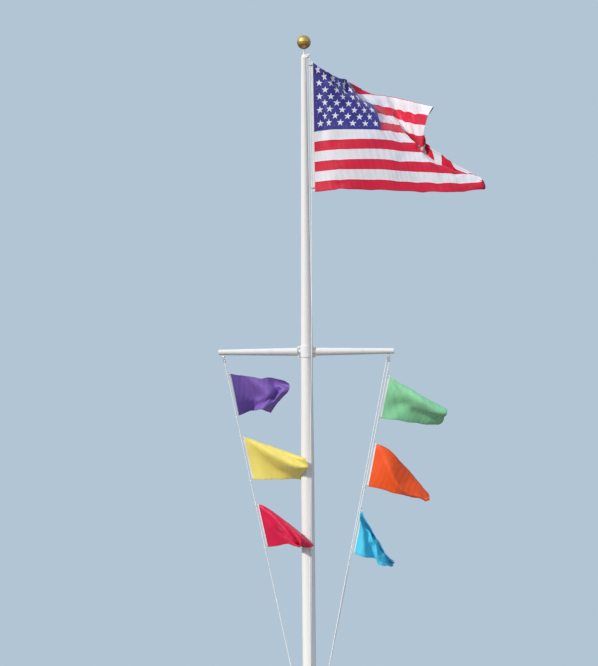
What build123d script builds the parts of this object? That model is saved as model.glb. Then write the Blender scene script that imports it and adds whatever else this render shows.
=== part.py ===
from build123d import *
import math
import os

# A tapered pole with a ball finial, a yard at mid height, three halyards and seven flags.
# Millimetres. The origin is the centre of the pole's foot, +Z is up, the yard lies along X
# and the flags are seen square from -Y.

# Pole
pole_height = 7573.0
butt_diameter = 125.0
top_diameter = 58.0
taper_start = 3760.0
pole_wall = 4.8
butt_plate_thickness = 10.0
seat_gap = 0.3

# Flash collar at the ground
flash_diameter = 330.0
flash_height = 62.0
flash_sheet = 2.5
flash_rim = 8.0

# Cleats
cleat_length = 150.0
cleat_projection = 32.0
cleat_base_length = 62.0
cleat_base_width = 22.0
cleat_stem_width = 13.0
cleat_stem_inset = 14.0
cleat_horn_root = 9.0
cleat_horn_tip = 5.5
main_cleat_height = 1250.0
left_cleat_height = 1380.0
right_cleat_height = 1270.0

# Truck
cap_height = 44.0
cap_top_diameter = 20.0
cap_rim_height = 9.0
truck_bearing = -44.0
fork_reach = 54.0
fork_height = 30.0
fork_cheek = 5.0
truck_sheave_height = 17.0

# Ball and spindle
ball_diameter = 134.0
ball_seam = 2.0
spindle_diameter = 13.0
spindle_length = 86.0
spindle_in_cap = 12.0
spindle_in_ball = 30.0
spindle_clearance = 0.1

# Rope and sheaves
rope_diameter = 8.0
rope_clearance = 0.3
truck_pitch_radius = 16.0
truck_sheave_width = 12.0
truck_pin_diameter = 6.0
block_pitch_radius = 14.0
block_sheave_width = 11.0
block_pin_diameter = 5.0
sheave_lip = 3.0
sheave_side_gap = 1.0
pin_clearance = 0.08
pin_head_width = 3.0
pin_head_extra = 2.0

# Yard
yard_height = 4793.0
yard_half_left = 830.0
yard_half_right = 825.0
arm_root_diameter = 74.0
arm_tip_diameter = 51.0
arm_wall = 3.0
arm_cap_length = 12.0
arm_gap = 0.5
clamp_height = 108.0
clamp_wall = 5.0
clamp_split = 2.0
clamp_ear_thickness = 9.0
clamp_ear_reach = 28.0
clamp_bolt_spacing = 71.0
clamp_bolt_hole = 10.4
stub_diameter = 46.0
stub_reach = 214.0
stub_clearance = 0.3

# Screw eyes and yard blocks
eye_inset = 50.0
eye_rod = 6.0
eye_ring_radius = 9.0
eye_shank_diameter = 7.0
bar_sides = 8
block_cheek = 2.5
block_cheek_width = 31.0
loop_rod = 5.0
loop_radius = 8.0
block_head_height = 6.0
block_head_gap = 2.0
block_leave = 60.0

# Large flag
ensign_drop = 39.0
ensign_top = pole_height - ensign_drop
ensign_hoist = 1232.0
ensign_spread = 1616.0
ensign_billow = 500.0
ensign_depth = -50.0
ensign_thickness = 6.0
hoist_inset = 59.5
hoist_lean = 10.5
heading_width = 24.0
heading_thickness = 4.0
heading_corner = 5.0
grommet_bore = 12.0
grommet_inset = 33.0
snap_bar = 5.0
snap_width = 19.0
snap_play = 1.8
halyard_spread = 64.0

# Small flags
flag_hoist = 406.0
flag_thickness = 4.0
flag_lead = 20.0
flag_drops_left = (193.0, 794.0, 1422.0)
flag_drops_right = (224.0, 865.0, 1487.0)
hoist_offset = 18.0
clip_bar = 4.0
clip_ring_radius = 6.3
clip_inset = 15.0


def save(shape, name):
    """Write one piece as its own file."""
    shape.label = name
    export_step(shape, os.path.join("parts", name + ".step"))


def turned(*points, axis=Axis.Z):
    """A solid of revolution: points are (radius, height) pairs of a closed outline."""
    outline = make_face(Plane.XZ * Polyline(*points, close=True))
    return revolve(outline, axis)


def pole_radius(height):
    """Outer radius of the pole at a height above its foot."""
    if height <= taper_start:
        return butt_diameter / 2
    share = (height - taper_start) / (pole_height - taper_start)
    return butt_diameter / 2 + share * (top_diameter - butt_diameter) / 2


clamp_bore = pole_radius(yard_height - clamp_height / 2) + seat_gap
ear_end = clamp_bore + clamp_wall + clamp_ear_reach
arm_start = ear_end + arm_gap


def arm_radius(reach, half_length):
    """Outer radius of a yard arm at a distance from the pole's axis."""
    share = (reach - arm_start) / (half_length - arm_start)
    return arm_root_diameter / 2 + share * (arm_tip_diameter - arm_root_diameter) / 2


def pole_tube():
    """Straight below, tapered above, open at the top."""
    outer = butt_diameter / 2
    top = top_diameter / 2
    foot = butt_plate_thickness
    return turned(
        (outer - pole_wall, foot),
        (outer, foot),
        (outer, taper_start),
        (top, pole_height),
        (top - pole_wall, pole_height),
        (outer - pole_wall, taper_start),
    )


def butt_plate():
    """Closes the foot of the tube and carries its weight."""
    return Pos(0, 0, butt_plate_thickness / 2) * Cylinder(butt_diameter / 2, butt_plate_thickness)


def flash_collar():
    """Spun cover that hides the ground joint: a hollow bell with a short upright rim."""
    neck = butt_diameter / 2 + seat_gap
    rim = flash_diameter / 2
    sag = 0.86
    outer = RadiusArc((rim, flash_rim), (neck + flash_sheet, flash_height), -sag * flash_diameter / 2)
    inner = RadiusArc(
        (neck, flash_height), (rim - flash_sheet, flash_rim - flash_sheet), sag * flash_diameter / 2
    )
    wall = [
        outer,
        Line(outer @ 1, inner @ 0),
        inner,
        Polyline(inner @ 1, (rim - flash_sheet, 0), (rim, 0), outer @ 0),
    ]
    return revolve(Plane.XZ * make_face(wall), Axis.Z)


def cleat(height, bearing):
    """Horn cleat: a foot shaped to the pole, two stems and a pair of tapered horns."""
    reach = butt_diameter / 2
    horn = turned(
        (0, 0),
        (cleat_horn_root, 0),
        (cleat_horn_root * 0.92, cleat_length * 0.22),
        (cleat_horn_tip, cleat_length / 2 - 3),
        (cleat_horn_tip * 0.6, cleat_length / 2),
        (0, cleat_length / 2),
    )
    horns = horn + mirror(horn, Plane.XY)
    horns = Pos(reach + cleat_projection, 0, 0) * horns
    stem_box = Box(cleat_projection + 4, cleat_stem_width, cleat_base_length - cleat_stem_inset)
    stem = Pos(reach + cleat_projection / 2, 0, 0) * fillet(stem_box.edges().filter_by(Axis.X), 6)
    foot_box = Box(8, cleat_base_width, cleat_base_length + 24)
    foot = Pos(reach + 2, 0, 0) * fillet(foot_box.edges().filter_by(Axis.X), 9)
    body = horns + stem + foot
    body -= Cylinder(reach + seat_gap, cleat_length * 2)
    return Rot(0, 0, bearing) * Pos(0, 0, height) * body


def sheave(pitch_radius, width, pin_diameter):
    """Grooved wheel about the Z axis, its middle plane at the origin."""
    groove = rope_diameter / 2 + rope_clearance
    outer = pitch_radius + sheave_lip
    wheel = Pos(outer / 2, 0) * Rectangle(outer, width)
    wheel -= Pos(pitch_radius, 0) * Circle(groove)
    wheel -= Pos(pitch_radius + outer / 2, 0) * Rectangle(outer, 2 * groove)
    bore = pin_diameter / 2 + pin_clearance
    wheel -= Pos(bore / 2, 0) * Rectangle(bore, width * 2)
    return revolve(Plane.XZ * wheel, Axis.Z)


def ring(radius, bar):
    """Forged ring about the Z axis, of a many-sided bar."""
    section = Pos(radius, 0) * RegularPolygon(bar / 2, bar_sides)
    return revolve(Plane.XZ * section, Axis.Z)


def pin(length, diameter):
    """Clevis pin about the Z axis with a head at each end."""
    shaft = Cylinder(diameter / 2, length)
    heads = [
        Pos(0, 0, side * (length + pin_head_width) / 2)
        * Cylinder(diameter / 2 + pin_head_extra, pin_head_width)
        for side in (-1, 1)
    ]
    return shaft + heads[0] + heads[1]


# Truck: the fork is drawn along +X and turned to its bearing.
truck_z = pole_height + truck_sheave_height
fork_gap = truck_sheave_width + 2 * sheave_side_gap
to_fork = Rot(0, 0, truck_bearing) * Pos(fork_reach, 0, truck_z) * Rot(90, 0, 0)


def truck_cap():
    """Cone on the pole's top with a rim, and a two-cheek fork at its side."""
    rim = top_diameter / 2
    cone = turned(
        (0, pole_height),
        (rim, pole_height),
        (rim, pole_height + cap_rim_height),
        (cap_top_diameter / 2, pole_height + cap_height),
        (spindle_diameter / 2 + spindle_clearance, pole_height + cap_height),
        (spindle_diameter / 2 + spindle_clearance, pole_height + cap_height - spindle_in_cap),
        (0, pole_height + cap_height - spindle_in_cap),
    )
    cheek_length = fork_reach + fork_height / 2
    width = fork_gap + 2 * fork_cheek
    fork = Box(fork_reach, width, fork_height, align=(Align.MIN, Align.CENTER, Align.CENTER))
    fork += Pos(fork_reach, 0, 0) * Rot(90, 0, 0) * Cylinder(fork_height / 2, width)
    slot_start = fork_reach - truck_pitch_radius - sheave_lip - 2
    fork -= Pos(slot_start, 0, 0) * Box(
        cheek_length, fork_gap, fork_height * 2, align=(Align.MIN, Align.CENTER, Align.CENTER)
    )
    fork -= Pos(fork_reach, 0, 0) * Rot(90, 0, 0) * Cylinder(truck_pin_diameter / 2, width * 2)
    fork = Rot(0, 0, truck_bearing) * Pos(0, 0, truck_z) * fork
    bore = Pos(0, 0, pole_height + cap_height - spindle_in_cap) * Cylinder(
        spindle_diameter / 2 + spindle_clearance, cap_height, align=(Align.CENTER, Align.CENTER, Align.MIN)
    )
    return cone + fork - bore


def ball_spindle():
    """Rod that carries the ball above the cap."""
    foot = pole_height + cap_height - spindle_in_cap
    return Pos(0, 0, foot) * Cylinder(
        spindle_diameter / 2, spindle_length, align=(Align.CENTER, Align.CENTER, Align.MIN)
    )


spindle_top = pole_height + cap_height - spindle_in_cap + spindle_length
ball_centre = spindle_top - spindle_in_ball - spindle_clearance + ball_diameter / 2


def finial_ball():
    """Spun ball with a raised seam at its equator and a socket for the spindle."""
    ball = Sphere(ball_diameter / 2)
    ball += Cylinder(ball_diameter / 2 + 0.6, ball_seam)
    socket = Pos(0, 0, -ball_diameter / 2 - 1) * Cylinder(
        spindle_diameter / 2 + spindle_clearance,
        spindle_in_ball + 2 * spindle_clearance + 1,
        align=(Align.CENTER, Align.CENTER, Align.MIN),
    )
    return Pos(0, 0, ball_centre) * (ball - socket)


def clamp_half(side):
    """Half collar round the pole with a bolted ear at each end; side is -1 front, 1 rear."""
    low = yard_height - clamp_height / 2
    high = yard_height + clamp_height / 2
    top_bore = pole_radius(high) + seat_gap
    collar = turned(
        (clamp_bore, low),
        (clamp_bore + clamp_wall, low),
        (clamp_bore + clamp_wall, high),
        (top_bore, high),
    )
    ears = Box(2 * ear_end, 2 * clamp_ear_thickness + clamp_split, clamp_height)
    ears = fillet(ears.edges().filter_by(Axis.Y), 6)
    ears = Pos(0, 0, yard_height) * ears
    bore = turned((0, low), (clamp_bore, low), (top_bore, high), (0, high))
    body = collar + (ears - bore)
    body -= Pos(0, 0, yard_height) * Rot(0, 90, 0) * Cylinder(
        stub_diameter / 2 + stub_clearance, 4 * ear_end
    )
    bolt_x = ear_end - clamp_ear_reach / 2
    for x in (-bolt_x, bolt_x):
        for z in (-clamp_bolt_spacing / 2, clamp_bolt_spacing / 2):
            body -= Pos(x, 0, yard_height + z) * Rot(90, 0, 0) * Cylinder(clamp_bolt_hole / 2, 100)
    span = 8 * butt_diameter
    keep = Pos(0, side * (span / 2 + clamp_split / 2), yard_height) * Box(span, span, span)
    return body & keep


def half_length(side):
    """Reach of a yard arm from the pole's axis."""
    return yard_half_left if side < 0 else yard_half_right


def along_yard(side, shape):
    """Turn a shape drawn about +Z, from the pole outwards, onto the yard's axis."""
    return Pos(0, 0, yard_height) * Rot(0, side * 90, 0) * shape


def arm_stub(side):
    """Stepped plug: its neck is gripped by the clamp and its tapered body fills the arm."""
    half = half_length(side)
    start = pole_radius(yard_height - clamp_height / 2) + 2
    inside = arm_wall + stub_clearance
    return along_yard(side, turned(
        (0, start),
        (stub_diameter / 2, start),
        (stub_diameter / 2, ear_end + arm_gap),
        (arm_radius(arm_start, half) - inside, ear_end + arm_gap),
        (arm_radius(stub_reach, half) - inside, stub_reach),
        (0, stub_reach),
    ))


def eye_x(side):
    """Place of a screw eye along the yard."""
    return side * (half_length(side) - eye_inset)


def yard_arm(side):
    """Tapered tube with a hole below for its screw eye."""
    half = half_length(side)
    end = half - arm_cap_length
    root = arm_root_diameter / 2
    tip = arm_radius(end, half)
    tube = along_yard(side, turned(
        (root - arm_wall, arm_start),
        (root, arm_start),
        (tip, end),
        (tip - arm_wall, end),
    ))
    hole = Pos(eye_x(side), 0, yard_height - arm_root_diameter / 2) * Cylinder(
        eye_shank_diameter / 2 + 0.1, arm_root_diameter
    )
    return tube - hole


def arm_cap(side):
    """Domed plug in the arm's end."""
    half = half_length(side)
    start = half - arm_cap_length
    radius = arm_radius(start, half)
    dome = turned((0, start), (radius, start), (radius, half - 4), (radius - 6, half), (0, half))
    return along_yard(side, dome)


def eye_rod_height(side):
    """Height of the middle of a screw eye's lowest rod."""
    below = arm_radius(abs(eye_x(side)), half_length(side))
    return yard_height - below - 1 - eye_rod / 2 - 2 * eye_ring_radius


def screw_eye(side):
    """Ring with a shank that passes through the wall of the arm."""
    ring_height = eye_rod_height(side) + eye_ring_radius
    eye = Pos(0, 0, ring_height) * Rot(0, 90, 0) * ring(eye_ring_radius, eye_rod)
    shank_low = ring_height + eye_ring_radius
    shank = Pos(0, 0, shank_low) * Cylinder(
        eye_shank_diameter / 2, yard_height - shank_low, align=(Align.CENTER, Align.CENTER, Align.MIN)
    )
    return Pos(eye_x(side), 0, 0) * (eye + shank)


rope_on_cleat = butt_diameter / 2 + 14
rope_over_stem = (cleat_base_length - cleat_stem_inset) / 2 + rope_clearance


def cleat_height(side):
    """Height of the cleat that a side halyard comes down to."""
    return left_cleat_height if side < 0 else right_cleat_height


# Blocks hang from the screw eyes along their halyard. Each is drawn with the eye's lowest rod
# at the origin and its sheave below, then tilted about Y and moved to the eye.
loop_centre = (eye_rod + loop_rod) / 2 + rope_clearance - loop_radius
head_top = loop_centre - loop_radius
head_low = head_top - block_head_height
block_drop = head_low - block_head_gap - rope_diameter / 2 - block_pitch_radius
block_gap = block_sheave_width + 2 * sheave_side_gap


def block_tilt(side):
    """Angle at which a halyard leads from its screw eye in to its cleat."""
    across = abs(eye_x(side)) - rope_on_cleat
    return math.degrees(math.atan2(across, eye_rod_height(side) - cleat_height(side)))


def block_place(side):
    """Where a block hangs: its tilt follows the halyard towards the pole."""
    return Pos(eye_x(side), 0, eye_rod_height(side)) * Rot(0, side * block_tilt(side), 0)


def block_turn(side):
    """The left sheave turns about the yard's direction, the right one faces the viewer."""
    return Rot(0, 0, 90) if side < 0 else Rot(0, 0, 0)


def block_shell(side):
    """Two cheeks, a head that joins them and the loop that hangs in the screw eye."""
    width = block_gap + 2 * block_cheek
    cheek_top = head_top - block_drop
    cheeks = Box(block_cheek_width, width, cheek_top, align=(Align.CENTER, Align.CENTER, Align.MIN))
    cheeks += Rot(90, 0, 0) * Cylinder(block_cheek_width / 2, width)
    cheeks = Pos(0, 0, block_drop) * cheeks
    window = Box(
        2 * block_cheek_width, block_gap, head_low - block_drop + block_cheek_width,
        align=(Align.CENTER, Align.CENTER, Align.MAX),
    )
    cheeks -= Pos(0, 0, head_low) * window
    cheeks -= Pos(0, 0, block_drop) * Rot(90, 0, 0) * Cylinder(block_pin_diameter / 2, width * 2)
    loop = Pos(0, 0, loop_centre) * Rot(90, 0, 0) * ring(loop_radius, loop_rod)
    return block_place(side) * (block_turn(side) * cheeks + loop)


def block_sheave(side):
    """Sheave of a yard block."""
    wheel = sheave(block_pitch_radius, block_sheave_width, block_pin_diameter)
    return block_place(side) * block_turn(side) * Pos(0, 0, block_drop) * Rot(90, 0, 0) * wheel


def block_pin(side):
    """Pin of a yard block."""
    axle = pin(block_gap + 2 * block_cheek, block_pin_diameter)
    return block_place(side) * block_turn(side) * Pos(0, 0, block_drop) * Rot(90, 0, 0) * axle


def rope(points, radii):
    """Round rope along straight runs joined by arcs; prints how true its volume is."""
    path = FilletPolyline(*points, radius=radii)
    start = Plane(path @ 0, z_dir=path % 0)
    solid = sweep(start * Circle(rope_diameter / 2), path=path)
    expected = math.pi * rope_diameter ** 2 / 4 * path.length
    print(f"rope length {path.length:.0f} radii {radii} volume ratio {solid.volume / expected:.5f}")
    return solid


def polar(radius, bearing, height):
    """A point round the pole's axis."""
    angle = math.radians(bearing)
    return (radius * math.cos(angle), radius * math.sin(angle), height)


def main_halyard():
    """From the front cleat over the truck sheave and back, both parts in front of the pole."""
    inner = fork_reach - truck_pitch_radius
    outer = fork_reach + truck_pitch_radius
    rise = truck_z + truck_pitch_radius
    against_pole = butt_diameter / 2 + rope_diameter / 2 + 2.5
    foot = main_cleat_height + rope_over_stem
    low = 0.55 * yard_height
    high = 0.82 * yard_height
    points = [
        (-6, -rope_on_cleat, foot),
        polar(against_pole, -78, low),
        polar(against_pole, -64, high),
        polar(against_pole - 2, -45, yard_height),
        (halyard_spread, ensign_depth, ensign_top - ensign_hoist - 80),
        polar(outer, truck_bearing, rise),
        polar(inner, truck_bearing, rise),
        polar(against_pole - 2, -34, yard_height + 1),
        polar(against_pole, -54, high + 1),
        polar(against_pole, -69, low + 1),
        (6, -rope_on_cleat, foot),
    ]
    turn = truck_pitch_radius - 1
    lean = 1500
    return rope(points, [lean] * 4 + [turn, turn] + [lean] * 3)


def side_line(side):
    """Where a side halyard's two parts leave their block and where they meet the cleat."""
    place = block_place(side) * block_turn(side) * Pos(0, 0, block_drop)
    pitch = block_pitch_radius
    foot = cleat_height(side) + rope_over_stem
    ends = []
    for part in (-1, 1):
        top = (place * Pos(part * pitch, 0, pitch)).position
        leave = (place * Pos(part * pitch, 0, -block_leave)).position
        ends.append((tuple(top), tuple(leave), (side * rope_on_cleat, part * 6, foot)))
    return ends


def side_halyard(side):
    """From a side cleat over its yard block and back."""
    near, far = side_line(side)
    points = [near[2], near[1], near[0], far[0], far[1], far[2]]
    turn = block_pitch_radius - 1
    return rope(points, [300, turn, turn, 300])


def rope_at(side, height):
    """Middle of the halyard part that carries the small flags, at a height."""
    _, top, foot = side_line(side)[0 if side < 0 else 1]
    share = (top[2] - height) / (top[2] - foot[2])
    return tuple(a + share * (b - a) for a, b in zip(top, foot))


def ribbon(points, radii, thickness, height):
    """Level section through a hanging cloth: a thin strip along straight runs and arcs."""
    line = FilletPolyline(*points, radius=radii)
    return Pos(0, 0, height) * make_face(offset(line, amount=thickness / 2, side=Side.BOTH))


def cut_to(outline, body):
    """Keep what lies inside an outline seen from -Y."""
    return body & extrude(Plane.XZ * make_face(Polyline(*outline, close=True)), 3000, both=True)


# Level lines through the flying flag from top to foot, as the folds show them: how far down the
# hoist each lies, then its swell, ridge, valley and fly as shares of the spread and the billow,
# then the bend radii of the first three, as shares of the billow. Low down the ridge overlaps
# the fly.
ENSIGN_LINES = (
    (-0.02, (0.10, 0.06), (0.21, 0.32), (0.47, 1.26), (0.76, 0.70), (0.4, 0.6, 0.2)),
    (0.36, (0.21, -0.24), (0.33, 0.04), (0.475, 1.14), (0.74, 0.08), (0.5, 0.6, 0.2)),
    (0.63, (0.21, -0.31), (0.59, -0.04), (0.605, 0.70), (0.70, -0.04), (0.8, 0.12, 0.06)),
    (0.88, (0.21, -0.30), (0.925, -0.10), (0.71, 0.34), (0.97, 0.06), (0.8, 0.04, 0.024)),
    (1.05, (0.21, -0.27), (0.99, -0.14), (0.977, -0.07), (0.99, -0.02), (0.8, 0.02, 0.02)),
)

# What the viewer sees of its edge from the top corner round by the fly and along the foot, as
# shares of the spread across and of the hoist down.
ENSIGN_OUTLINE = (
    (0.15, 0.11), (0.34, 0.19), (0.53, 0.235), (0.70, 0.343), (0.65, 0.45), (0.64, 0.59),
    (0.75, 0.71), (0.93, 0.865), (1.0, 0.99), (0.63, 1.02), (0.15, 0.985),
)


def hoist_x(drop, away=0.0):
    """Place of the large flag's hoist at a share of its length down, or of a line beside it."""
    return hoist_inset + drop * hoist_lean + away


def ensign():
    """The large flag: it swells towards the viewer, turns back at its ridge and comes forward."""
    edge = heading_width + seat_gap
    sections = []
    for drop, *bends, radii in ENSIGN_LINES:
        start = hoist_x(0, edge)
        points = [(start, ensign_depth)]
        points += [(start + x * ensign_spread, ensign_depth + y * ensign_billow) for x, y in bends]
        radii = [share * ensign_billow for share in radii]
        sections.append(ribbon(points, radii, ensign_thickness, ensign_top - drop * ensign_hoist))
    body = loft(sections, ruled=True)
    outline = [(hoist_x(0, edge), ensign_top)]
    for x, drop in ENSIGN_OUTLINE:
        outline.append((hoist_x(0, edge) + x * ensign_spread, ensign_top - drop * ensign_hoist))
    outline.append((hoist_x(1, edge), ensign_top - ensign_hoist))
    return cut_to(outline, body)


def ensign_heading():
    """Canvas tape along the hoist with a grommet hole at each end."""
    tape = make_face(Polyline(
        (hoist_x(0), ensign_top),
        (hoist_x(0, heading_width), ensign_top),
        (hoist_x(1, heading_width), ensign_top - ensign_hoist),
        (hoist_x(1), ensign_top - ensign_hoist),
        close=True,
    ))
    tape = fillet(tape.vertices().filter_by_position(Axis.X, 0, hoist_x(1) + 0.1), heading_corner)
    for drop in grommet_drops():
        tape -= Pos(hoist_x(drop, heading_width / 2), grommet_height(drop)) * Circle(grommet_bore / 2)
    return Pos(0, ensign_depth, 0) * extrude(Plane.XZ * tape, heading_thickness / 2, both=True)


def grommet_drops():
    """Shares of the hoist at which the two grommets lie."""
    inset = grommet_inset / ensign_hoist
    return (inset, 1 - inset)


def grommet_height(drop):
    """Height of a grommet at a share of the hoist."""
    return ensign_top - drop * ensign_hoist


def main_rope_at(height):
    """Middle of the halyard part beside the large flag."""
    top = polar(fork_reach + truck_pitch_radius, truck_bearing, truck_z)
    foot = (halyard_spread, ensign_depth, ensign_top - ensign_hoist - 80)
    share = (top[2] - height) / (top[2] - foot[2])
    return tuple(a + share * (b - a) for a, b in zip(top, foot))


def ensign_snap(drop):
    """Link that goes round the halyard and through a grommet."""
    height = grommet_height(drop)
    rope_x, rope_y, _ = main_rope_at(height)
    left = rope_x - rope_diameter / 2 - rope_clearance - snap_bar / 2
    edge = hoist_x(drop, heading_width / 2) - grommet_bore / 2
    right = edge + snap_bar / 2 + snap_play
    link = SlotOverall(right - left + snap_bar, snap_width + snap_bar)
    link -= SlotOverall(right - left - snap_bar, snap_width - snap_bar)
    return Pos((left + right) / 2, rope_y, height) * extrude(link, snap_bar / 2, both=True)


def flag_tops(side):
    """Heights of the small flags' upper corners on one halyard."""
    drops = flag_drops_left if side < 0 else flag_drops_right
    return [yard_height - drop for drop in drops]


def small_flag(side, order, outline, plan, radii):
    """A small flag beside its halyard; outline, plan and radii are shares of its hoist's length."""
    top = flag_tops(side)[order]
    foot = top - flag_hoist
    corners = [(rope_at(side, z)[0] + hoist_offset, z) for z in (top, foot)]
    rope_y = rope_at(side, top - flag_hoist / 2)[1]
    origin = corners[0][0]
    edge = [(origin + x * flag_hoist, top - drop * flag_hoist) for x, drop in outline]
    near = min(x for x, _ in corners) - flag_lead
    far = max(x for x, _ in corners) + flag_lead
    points = [(near, rope_y), (far, rope_y)]
    points += [(origin + x * flag_hoist, rope_y + y * flag_hoist) for x, y in plan]
    radii = [share * flag_hoist for share in radii]
    strip = ribbon(points, radii, flag_thickness, foot - flag_hoist / 2)
    body = extrude(strip, 2 * flag_hoist, dir=(0, 0, 1))
    return cut_to([corners[0]] + edge + [corners[1]], body)


def flag_clips(side):
    """Collars on the halyard with a tab at the two corners of each hoist."""
    clips = None
    inner = clip_ring_radius - clip_bar / 2
    outer = clip_ring_radius + clip_bar / 2
    lean = clip_bar * math.sin(math.radians(block_tilt(side))) / 2
    reach = hoist_offset - clip_ring_radius - seat_gap - lean
    for top in flag_tops(side):
        for height in (top - clip_inset, top - flag_hoist + clip_inset):
            x, y, _ = rope_at(side, height)
            collar = Cylinder(outer, 2 * clip_bar)
            collar += Pos(clip_ring_radius + reach / 2, 0, 0) * Box(reach, clip_bar, 2 * clip_bar)
            collar -= Cylinder(inner, 4 * clip_bar)
            clip = Pos(x, y, height) * Rot(0, side * block_tilt(side), 0) * collar
            clips = clip if clips is None else clips + clip
    return clips


SMALL_FLAGS = {
    "purple_flag": (
        -1, 0,
        ((0.53, 0.12), (0.84, 0.18), (1.18, 0.18), (1.31, 0.27), (1.24, 0.53), (0.92, 0.95), (0.38, 0.96)),
        ((0.50, -0.15), (0.78, 0.08), (1.45, -0.15)),
        (0.15, 0.15, 0.25),
    ),
    "yellow_flag": (
        -1, 1,
        ((0.46, 0.14), (1.04, 0.28), (1.39, 0.43), (1.27, 0.93), (0.75, 0.97)),
        ((0.55, -0.20), (0.90, -0.22), (1.50, -0.42)),
        (0.37, 0.6, 0.6),
    ),
    "red_flag": (
        -1, 2,
        ((0.25, 0.10), (0.54, 0.30), (0.87, 0.54), (1.12, 0.75), (1.30, 0.93), (1.12, 0.97), (0.46, 0.94)),
        ((0.50, -0.20), (0.80, -0.20), (1.40, -0.38)),
        (0.25, 0.37, 0.6),
    ),
    "green_flag": (
        1, 0,
        ((0.23, 0.16), (0.75, 0.45), (1.32, 0.77), (1.27, 1.10), (1.15, 1.12), (0.66, 1.07), (0.13, 1.0)),
        ((0.40, -0.15), (0.90, -0.10), (1.40, 0.10)),
        (0.37, 0.6, 0.6),
    ),
    "orange_flag": (
        1, 1,
        ((0.32, 0.15), (0.56, 0.40), (0.89, 0.78), (1.19, 1.10), (1.18, 1.29), (0.47, 1.12), (0.09, 1.04)),
        ((0.50, -0.20), (0.85, -0.05), (1.30, -0.20)),
        (0.37, 0.37, 0.37),
    ),
    "blue_flag": (
        1, 2,
        ((0.12, 0.24), (0.35, 0.62), (0.54, 0.97), (0.77, 1.17), (0.58, 1.26), (0.38, 1.08), (0.14, 1.07)),
        ((0.22, -0.15), (0.45, 0.05), (0.85, -0.10)),
        (0.1, 0.15, 0.2),
    ),
}


def main():
    """Build every piece and write it."""
    os.makedirs("parts", exist_ok=True)
    save(pole_tube(), "pole_tube")
    save(butt_plate(), "butt_plate")
    save(flash_collar(), "flash_collar")
    save(cleat(main_cleat_height, -90), "main_cleat")
    save(cleat(left_cleat_height, 180), "left_cleat")
    save(cleat(right_cleat_height, 0), "right_cleat")
    save(truck_cap(), "truck_cap")
    wheel = sheave(truck_pitch_radius, truck_sheave_width, truck_pin_diameter)
    save(to_fork * wheel, "truck_sheave")
    save(to_fork * pin(fork_gap + 2 * fork_cheek, truck_pin_diameter), "truck_pin")
    save(ball_spindle(), "ball_spindle")
    save(finial_ball(), "finial_ball")
    save(clamp_half(-1), "yard_clamp_front")
    save(clamp_half(1), "yard_clamp_rear")
    for side, word in ((-1, "left"), (1, "right")):
        save(arm_stub(side), f"arm_stub_{word}")
        save(yard_arm(side), f"yard_arm_{word}")
        save(arm_cap(side), f"arm_cap_{word}")
        save(screw_eye(side), f"screw_eye_{word}")
        save(block_shell(side), f"block_shell_{word}")
        save(block_sheave(side), f"block_sheave_{word}")
        save(block_pin(side), f"block_pin_{word}")
        save(side_halyard(side), f"{word}_halyard")
        save(flag_clips(side), f"flag_clips_{word}")
    save(main_halyard(), "main_halyard")
    save(ensign(), "ensign")
    save(ensign_heading(), "ensign_heading")
    upper, lower = grommet_drops()
    save(ensign_snap(upper), "ensign_snap_upper")
    save(ensign_snap(lower), "ensign_snap_lower")
    for name, sizes in SMALL_FLAGS.items():
        save(small_flag(*sizes), name)


if __name__ == "__main__":
    main()
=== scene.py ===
"""Dress a club flagpole: painted pole and yard, gilt ball, halyards, ensign and six small flags."""

import logging
import math
from collections.abc import Callable, Iterable
from dataclasses import dataclass, replace
from enum import Enum

import bmesh
import bpy
import numpy as np
from mathutils import Matrix, Vector


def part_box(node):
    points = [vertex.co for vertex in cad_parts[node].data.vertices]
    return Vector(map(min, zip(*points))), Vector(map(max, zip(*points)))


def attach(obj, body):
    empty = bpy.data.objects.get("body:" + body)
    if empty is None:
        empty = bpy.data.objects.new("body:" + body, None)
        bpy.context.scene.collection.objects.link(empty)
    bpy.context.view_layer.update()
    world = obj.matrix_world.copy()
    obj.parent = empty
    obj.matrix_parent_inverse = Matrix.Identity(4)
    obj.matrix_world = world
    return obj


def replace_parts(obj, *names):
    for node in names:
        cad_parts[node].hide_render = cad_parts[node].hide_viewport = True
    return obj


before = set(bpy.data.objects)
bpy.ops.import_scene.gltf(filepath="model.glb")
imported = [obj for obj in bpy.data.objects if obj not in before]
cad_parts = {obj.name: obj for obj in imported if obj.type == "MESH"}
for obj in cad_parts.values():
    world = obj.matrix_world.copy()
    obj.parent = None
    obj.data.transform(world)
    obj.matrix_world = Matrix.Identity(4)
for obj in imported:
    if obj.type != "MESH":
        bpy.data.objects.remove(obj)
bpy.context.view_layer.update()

log = logging.getLogger("flagpole")

MM = 0.001  # metres in a millimetre
METRE = 1000.0  # millimetres in a metre
POLE = "pole"

Rgba = tuple[float, float, float, float]
Point = tuple[float, float, float]
Row = tuple[float, ...]


def linear(red: int, green: int, blue: int) -> Rgba:
    """Turn a display colour, each part from 0 to 255, into the linear values that a shader takes."""
    parts = []
    for value in (red, green, blue):
        share = value / 255
        parts.append(share / 12.92 if share <= 0.04045 else ((share + 0.055) / 1.055) ** 2.4)
    return (*parts, 1.0)


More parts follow.
